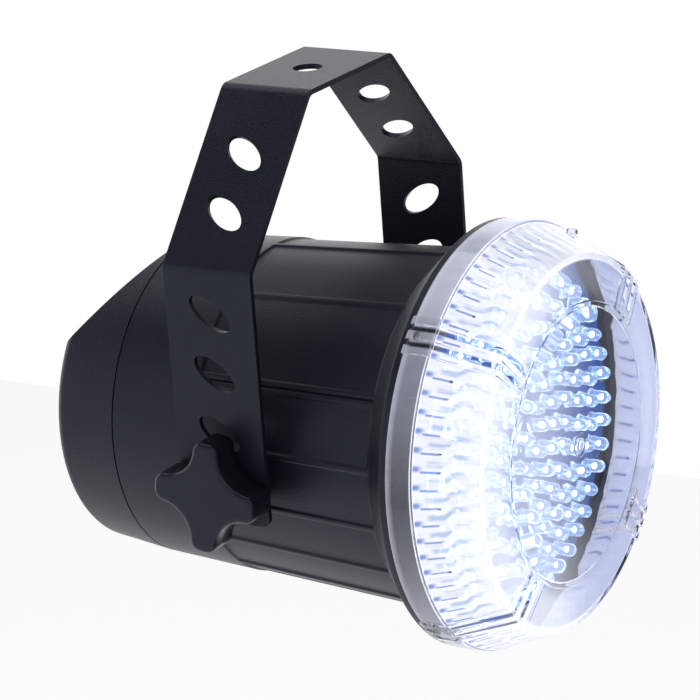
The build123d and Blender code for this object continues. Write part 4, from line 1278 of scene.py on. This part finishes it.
@dataclass
class LightSource:
    """Round board with its rings of LEDs."""

    centre: float = -134.0
    front: float = -77.3
    outer_radius: float = 60.0
    ring_pitch: float = 9.6
    led_pitch: float = 9.0
    rings: int = 6
    sides: int = 10
    lean: float = 0.15
    seed: int = 7

    def places(self) -> list[Vector]:
        """Where each LED stands on the board."""
        found = [Vector((0.0, self.front, self.centre))]
        for ring in range(self.rings):
            radius = self.outer_radius - ring * self.ring_pitch
            count = round(2 * math.pi * radius / self.led_pitch)
            for index in range(count):
                turn = math.tau * index / count
                found.append(Vector((-radius * math.sin(turn), self.front, self.centre + radius * math.cos(turn))))
        return found

    def turned(self, name: str, rows: Sequence[tuple[float, float, float]], sides: int) -> bpy.types.Mesh:
        """Turned shape along +Z with its glow stored on its points.

        Args:
            name: The mesh's name.
            rows: (height, radius, glow) of each ring of points.
            sides: Points on each ring.

        Returns:
            The mesh.
        """
        turns = np.arange(sides) * math.tau / sides
        table = np.array([np.stack([r * np.cos(turns), r * np.sin(turns), np.full_like(turns, h)], axis=-1)
                          for h, r, _ in rows])
        mesh = grid_mesh(name, table, False)
        put(mesh, "glow", np.repeat(np.array([g for _, _, g in rows])[:, None], sides, axis=1))
        outward(mesh, 50.0)
        return mesh

    def build(self) -> None:
        """Make the LEDs, with their cores inside their bulbs, and dress their board."""
        bulb = ((0.0, 2.85, 0.0), (0.9, 2.85, 0.0), (0.95, 2.5, 0.1), (6.1, 2.5, 0.5), (7.1, 2.3, 0.7),
                (7.9, 1.75, 0.9), (8.4, 1.0, 1.0), (8.6, 0.25, 1.0))
        core = ((1.2, 0.35, 0.0), (3.4, 0.4, 0.1), (4.4, 0.8, 0.6), (5.1, 0.85, 0.9), (5.5, 0.55, 1.0),
                (5.6, 0.15, 1.0))
        places = self.places()
        chance = random.Random(self.seed)
        aims = [Vector((chance.uniform(-self.lean, self.lean), -1.0, chance.uniform(-self.lean, self.lean)))
                for _ in places]
        bulbs = set_out("led_bulbs", copies_rule("LED bulbs", LED_BULB), self.turned("bulb", bulb, self.sides),
                        places, aims)
        dress(bulbs, LED_BULB, Body.HOUSING, "led_resin", "leds")
        cores = set_out("led_cores", copies_rule("LED cores", LED_CORE), self.turned("core", core, 6), places, aims)
        dress(cores, LED_CORE, Body.HOUSING, "led_resin")
        refinish(LED_BOARD_BLUE, "led_board")


@dataclass
class ClampKnob:
    """Four-lobed clamp knob on one side."""

    side: Side
    pivot: float = -137.0
    back: float = 78.3
    thick: float = 12.3
    lobe: float = 21.3
    scoop_at: float = 25.8
    scoop: float = 12.9
    soft: float = 4.0
    rim: float = 1.5
    turn: float = 7.0

    def outline(self) -> list[tuple[Vector, Vector]]:
        """(point, outward normal) round the knob's face."""
        alpha = math.acos(((self.lobe - self.soft) ** 2 + self.scoop_at ** 2 - (self.scoop + self.soft) ** 2)
                          / (2 * (self.lobe - self.soft) * self.scoop_at))
        start = math.radians(45) - alpha
        corner = Vector((math.cos(start), math.sin(start))) * (self.lobe - self.soft)
        middle = Vector((math.cos(math.radians(45)), math.sin(math.radians(45)))) * self.scoop_at
        toward = (middle - corner).normalized()
        low, high = start, math.atan2(toward.y, toward.x)
        quarter = []
        for a in steps(0.0, start, 2):
            quarter.append((Vector((math.cos(a), math.sin(a))) * self.lobe, Vector((math.cos(a), math.sin(a)))))
        for a in steps(low, high, 9):
            normal = Vector((math.cos(a), math.sin(a)))
            quarter.append((corner + normal * self.soft, normal))
        back = -toward
        first = math.atan2(back.y, back.x)
        for a in steps(first, math.radians(225) - math.tau, 8):
            normal = Vector((math.cos(a), math.sin(a)))
            quarter.append((middle + normal * self.scoop, -normal))
        base = math.radians(45)
        mirror = [(Vector((v.y, v.x)), Vector((n.y, n.x))) for v, n in reversed(quarter[1:])]
        tip = [(Vector((math.cos(base), math.sin(base))) * (self.scoop_at - self.scoop),
                Vector((math.cos(base), math.sin(base))))]
        eighth = quarter + tip + mirror
        ring = []
        for k in range(4):
            spin = Matrix.Rotation(math.radians(90 * k), 2)
            ring += [(spin @ p, spin @ n) for p, n in eighth]
        return ring

    def build(self) -> None:
        """Make the knob and dress its stud and washer."""
        side = "left" if self.side is Side.LEFT else "right"
        ring = self.outline()
        sign = self.side.value
        rows = []
        bend = [math.radians(a) for a in (0, 22.5, 45, 67.5, 90)]
        levels = [(0.0, 3.0), (0.0, 0.4), (0.4, 0.0)]
        levels += [(self.thick - self.rim + self.rim * math.sin(a), self.rim - self.rim * math.cos(a)) for a in bend]
        levels += [(self.thick, 2.6)]
        tilt = math.radians(self.turn)
        for lift, inset in levels:
            row = []
            for point, normal in ring:
                p = point - normal * inset
                u = p.x * math.cos(tilt) - p.y * math.sin(tilt)
                v = p.x * math.sin(tilt) + p.y * math.cos(tilt)
                row.append((sign * (self.back + lift), u, self.pivot + v))
            rows.append(row)
        mesh = grid_mesh(f"{side}_knob_body", np.array(rows), False)
        outward(mesh, 50.0)
        body = Body.LEFT_KNOB if self.side is Side.LEFT else Body.RIGHT_KNOB
        dress(piece(f"{side}_knob_body", mesh), KNOB_BLACK, body, "knob_plastic", f"{side}_star_knob")
        refinish(ZINC, f"{side}_knob_stud", f"{side}_knob_washer")
        refinish(PAD_FIBRE, f"{side}_friction_pad")
        refinish(BRASS, f"{side}_threaded_insert")


@dataclass
class Screws:
    """Cross-head screws of the lens, the rear cover and the LED board."""

    centre: float = -134.0

    def template(self, radius: float, height: float, shank: float, length: float) -> bpy.types.Mesh:
        """One screw along +Z, its head's underside at the origin.

        Args:
            radius: The head's radius.
            height: The head's height.
            shank: The shank's radius.
            length: The shank's length.

        Returns:
            The screw's mesh, in metres.
        """
        turns = np.arange(24) * math.tau / 24
        rows = ((-length, shank * 0.6), (-length + 1.0, shank), (-0.01, shank), (0.0, radius), (height * 0.4, radius),
                (height * 0.75, radius * 0.88), (height, radius * 0.6))
        table = np.array([np.stack([r * np.cos(turns), r * np.sin(turns), np.full_like(turns, h)], axis=-1)
                          for h, r in rows])
        mesh = grid_mesh("screw", table, False)
        outward(mesh)
        body = piece("screw_body", mesh)
        for turn in (0.0, math.pi / 2):
            size = (radius * 1.15 * MM, radius * 0.26 * MM, height * 1.1 * MM)
            cut = bmesh.new()
            bmesh.ops.create_cube(cut, size=1.0, matrix=Matrix.Rotation(turn, 4, "Z")
                                  @ Matrix.Translation((0.0, 0.0, height * MM)) @ Matrix.Diagonal((*size, 1.0)))
            blade_mesh = bpy.data.meshes.new("blade")
            cut.to_mesh(blade_mesh)
            cut.free()
            blade = piece("blade", blade_mesh)
            carve = body.modifiers.new("Cross", "BOOLEAN")
            carve.operation, carve.object, carve.solver = "DIFFERENCE", blade, "EXACT"
            settled(body)
            bpy.data.objects.remove(blade)
        made = body.data
        bpy.data.objects.remove(body)
        outward(made, 35.0)
        return made

    def ring(self, angles: Sequence[float], radius: float, y: float) -> list[Vector]:
        """Points at the angles round the barrel's axis."""
        return [Vector((-radius * math.sin(math.radians(a)), y, self.centre + radius * math.cos(math.radians(a))))
                for a in angles]

    def build(self) -> None:
        """Set out the three groups of screws."""
        rule = copies_rule("Screw set", ZINC)
        strips = (45.0, 135.0, 225.0, 315.0)
        outward_aims = [Vector((-math.sin(math.radians(a)), 0.0, math.cos(math.radians(a)))) for a in strips]
        lens = set_out("lens_screw_set", rule, self.template(1.7, 1.5, 1.1, 6.0), self.ring(strips, 79.35, -73.8),
                       outward_aims, 0.4)
        dress(lens, ZINC, Body.HOUSING, "zinc_steel", "lens_screws")
        board = set_out("board_screw_set", rule, self.template(2.2, 1.5, 1.2, 6.0),
                        self.ring((0.0, 90.0, 180.0, 270.0), 69.0, -77.35), [Vector((0.0, -1.0, 0.0))] * 4, 0.7)
        dress(board, ZINC, Body.HOUSING, "zinc_steel", "led_board_screws")
        dark = copies_rule("Dark screw set", SCREW_BLACK)
        cover = set_out("cover_screw_set", dark, self.template(2.9, 1.9, 1.5, 34.0),
                        self.ring((70.0, 145.0, 215.0, 290.0), 49.0, 85.5), [Vector((0.0, 1.0, 0.0))] * 4, 0.5)
        dress(cover, SCREW_BLACK, Body.HOUSING, "black_steel", "rear_cover_screws")


@dataclass
class RearControls:
    """Rate control, trigger socket, fuse holder and cable gland on the rear face."""

    edge: float = 0.25

    def build(self) -> None:
        """Round what shows and dress the rest."""
        for node, name, finish, body, slot in (
                ("rate_knob", "rate_knob_cap", CONTROL_BLACK, Body.RATE, "control_plastic"),
                ("fuse_cap", "fuse_cap_head", CONTROL_BLACK, Body.FUSE, "control_plastic"),
                ("gland_body", "gland_hex", CONTROL_BLACK, Body.HOUSING, "control_plastic"),
                ("fuse_holder", "fuse_holder_flange", CONTROL_BLACK, Body.HOUSING, "control_plastic"),
                ("trigger_jack_nut", "jack_nut", NICKEL, Body.HOUSING, "nickel_steel"),
                ("potentiometer_nut", "rate_nut", NICKEL, Body.HOUSING, "nickel_steel")):
            dress(rounded(copy_of(node, name), self.edge, 30.0), finish, body, slot, node)
        refinish(CONTROL_BLACK, "trigger_jack", "gland_cap", "gland_nut", "fuse_holder_nut")
        refinish(SEAL_RUBBER, "gland_seal")
        refinish(NICKEL, "potentiometer", "rate_shaft")
        refinish(FUSE_GLASS, "fuse")


@dataclass
class Driver:
    """Driver board and what stands on it, inside the barrel."""

    def build(self) -> None:
        """Dress the inner parts."""
        refinish(DRIVER_GREEN, "driver_board")
        refinish(ZINC, "driver_board_screws")
        refinish(LAMINATION, "transformer_core")
        refinish(WINDING, "transformer_coil")
        refinish(SLEEVE, "capacitors")
        refinish(SINK_ALUMINIUM, "heat_sink")
        refinish(CHIP_EPOXY, "transistors", "bridge_rectifier", "timer_chip")
        refinish(TERMINAL_GREY, "terminal_block")
        refinish(LEAD_PVC, "led_leads", "mains_leads", "control_leads")


# The studio

@dataclass
class Studio:
    """Pale floor, soft lamps, a plain dome of light and the camera."""

    floor_drop: float = 0.40
    floor_half: float = 1.1
    dome: float = 1.45
    shade: float = 0.05

    def world(self) -> None:
        """Dome that is white low down and dim overhead, and white to the camera and through the lens."""
        world = bpy.data.worlds.new("Studio dome")
        bpy.context.scene.world = world
        world.use_nodes = True
        world.node_tree.nodes.clear()
        graph = Graph(world.node_tree)
        across, along, height = graph.parts(Sock(graph, graph.add("ShaderNodeTexCoord").outputs["Generated"]))
        path = graph.add("ShaderNodeLightPath").outputs
        behind = (across * 0.80 + along * 0.507 - height * 0.319).eased(0.6, 0.85)
        seen = Sock(graph, path["Is Camera Ray"]).most(Sock(graph, path["Is Transmission Ray"]) * behind)
        front = (across * 0.45 - along * 0.89).eased(0.15, 0.7)
        away = (across + along * 0.1).eased(-0.7, 0.6) * 0.55 + 0.45
        level = (1.0 - height.eased(0.28, 0.68)) * (1.0 - front * 0.85) * away * (1.0 - self.shade) + self.shade
        tone = graph.mixed(level, rgba((0, 0, 0)), rgba((self.dome,) * 3))
        colour = graph.mixed(seen, tone, rgba((1, 1, 1)))
        back = graph.add("ShaderNodeBackground", None, {"Color": colour, "Strength": 1.0})
        graph.add("ShaderNodeOutputWorld", None, {"Surface": back})

    def lamp(self, name: str, place: Sequence[float], size: float, power: float) -> None:
        """Square soft lamp aimed at the light's middle.

        Args:
            name: The lamp's name.
            place: Where it hangs, in metres.
            size: Its side, in metres.
            power: Its power, in watts.
        """
        data = bpy.data.lights.new(name, "AREA")
        data.size, data.energy = size, power
        lamp = bpy.data.objects.new(name, data)
        bpy.context.scene.collection.objects.link(lamp)
        lamp.location = place
        lamp.rotation_euler = (Vector((0.0, 0.0, -0.12)) - Vector(place)).to_track_quat("-Z", "Y").to_euler()

    def build(self) -> None:
        """Set the stage."""
        low, half = CAD_BOX[0].z - self.floor_drop, self.floor_half
        mesh = bpy.data.meshes.new("floor")
        mesh.from_pydata([(-half, -half, low), (half, -half, low), (half, half, low), (-half, half, low)], [],
                         [(0, 1, 2, 3)])
        mesh.materials.append(STAGE_WHITE.material())
        piece("floor", mesh)
        self.world()
        self.lamp("key", (-1.2, -1.0, 1.4), 1.7, 8.0)
        self.lamp("top", (0.3, 0.5, 1.6), 1.6, 10.0)
        data = bpy.data.cameras.new("photo view")
        data.lens, data.sensor_width, data.clip_start, data.clip_end = 176.13, 36.0, 0.05, 60.0
        camera = bpy.data.objects.new("photo view", data)
        bpy.context.scene.collection.objects.link(camera)
        forward = Vector((0.8006, 0.5069, -0.3194)).normalized()
        right = Vector((0.5142, -0.8550, -0.0679))
        right = (right - forward * right.dot(forward)).normalized()
        up = right.cross(forward)
        turn = Matrix((right, up, -forward)).transposed().to_4x4()
        camera.matrix_world = Matrix.Translation((-1.0303, -0.6619, 0.3024)) @ turn
        bpy.context.scene.camera = camera
        bpy.context.scene.view_settings.view_transform = "Standard"


def main() -> None:
    """Build the light and its studio, one sub-assembly after another."""
    logging.basicConfig(level=logging.INFO, format="%(name)s: %(message)s")
    Studio().build()
    for part in (Bracket(), Barrel(), RearCover(), LensCup(), LightSource(), ClampKnob(Side.LEFT),
                 ClampKnob(Side.RIGHT), Screws(), RearControls(), Driver()):
        log.info("building %s", type(part).__name__)
        part.build()


if __name__ == "__main__":
    main()
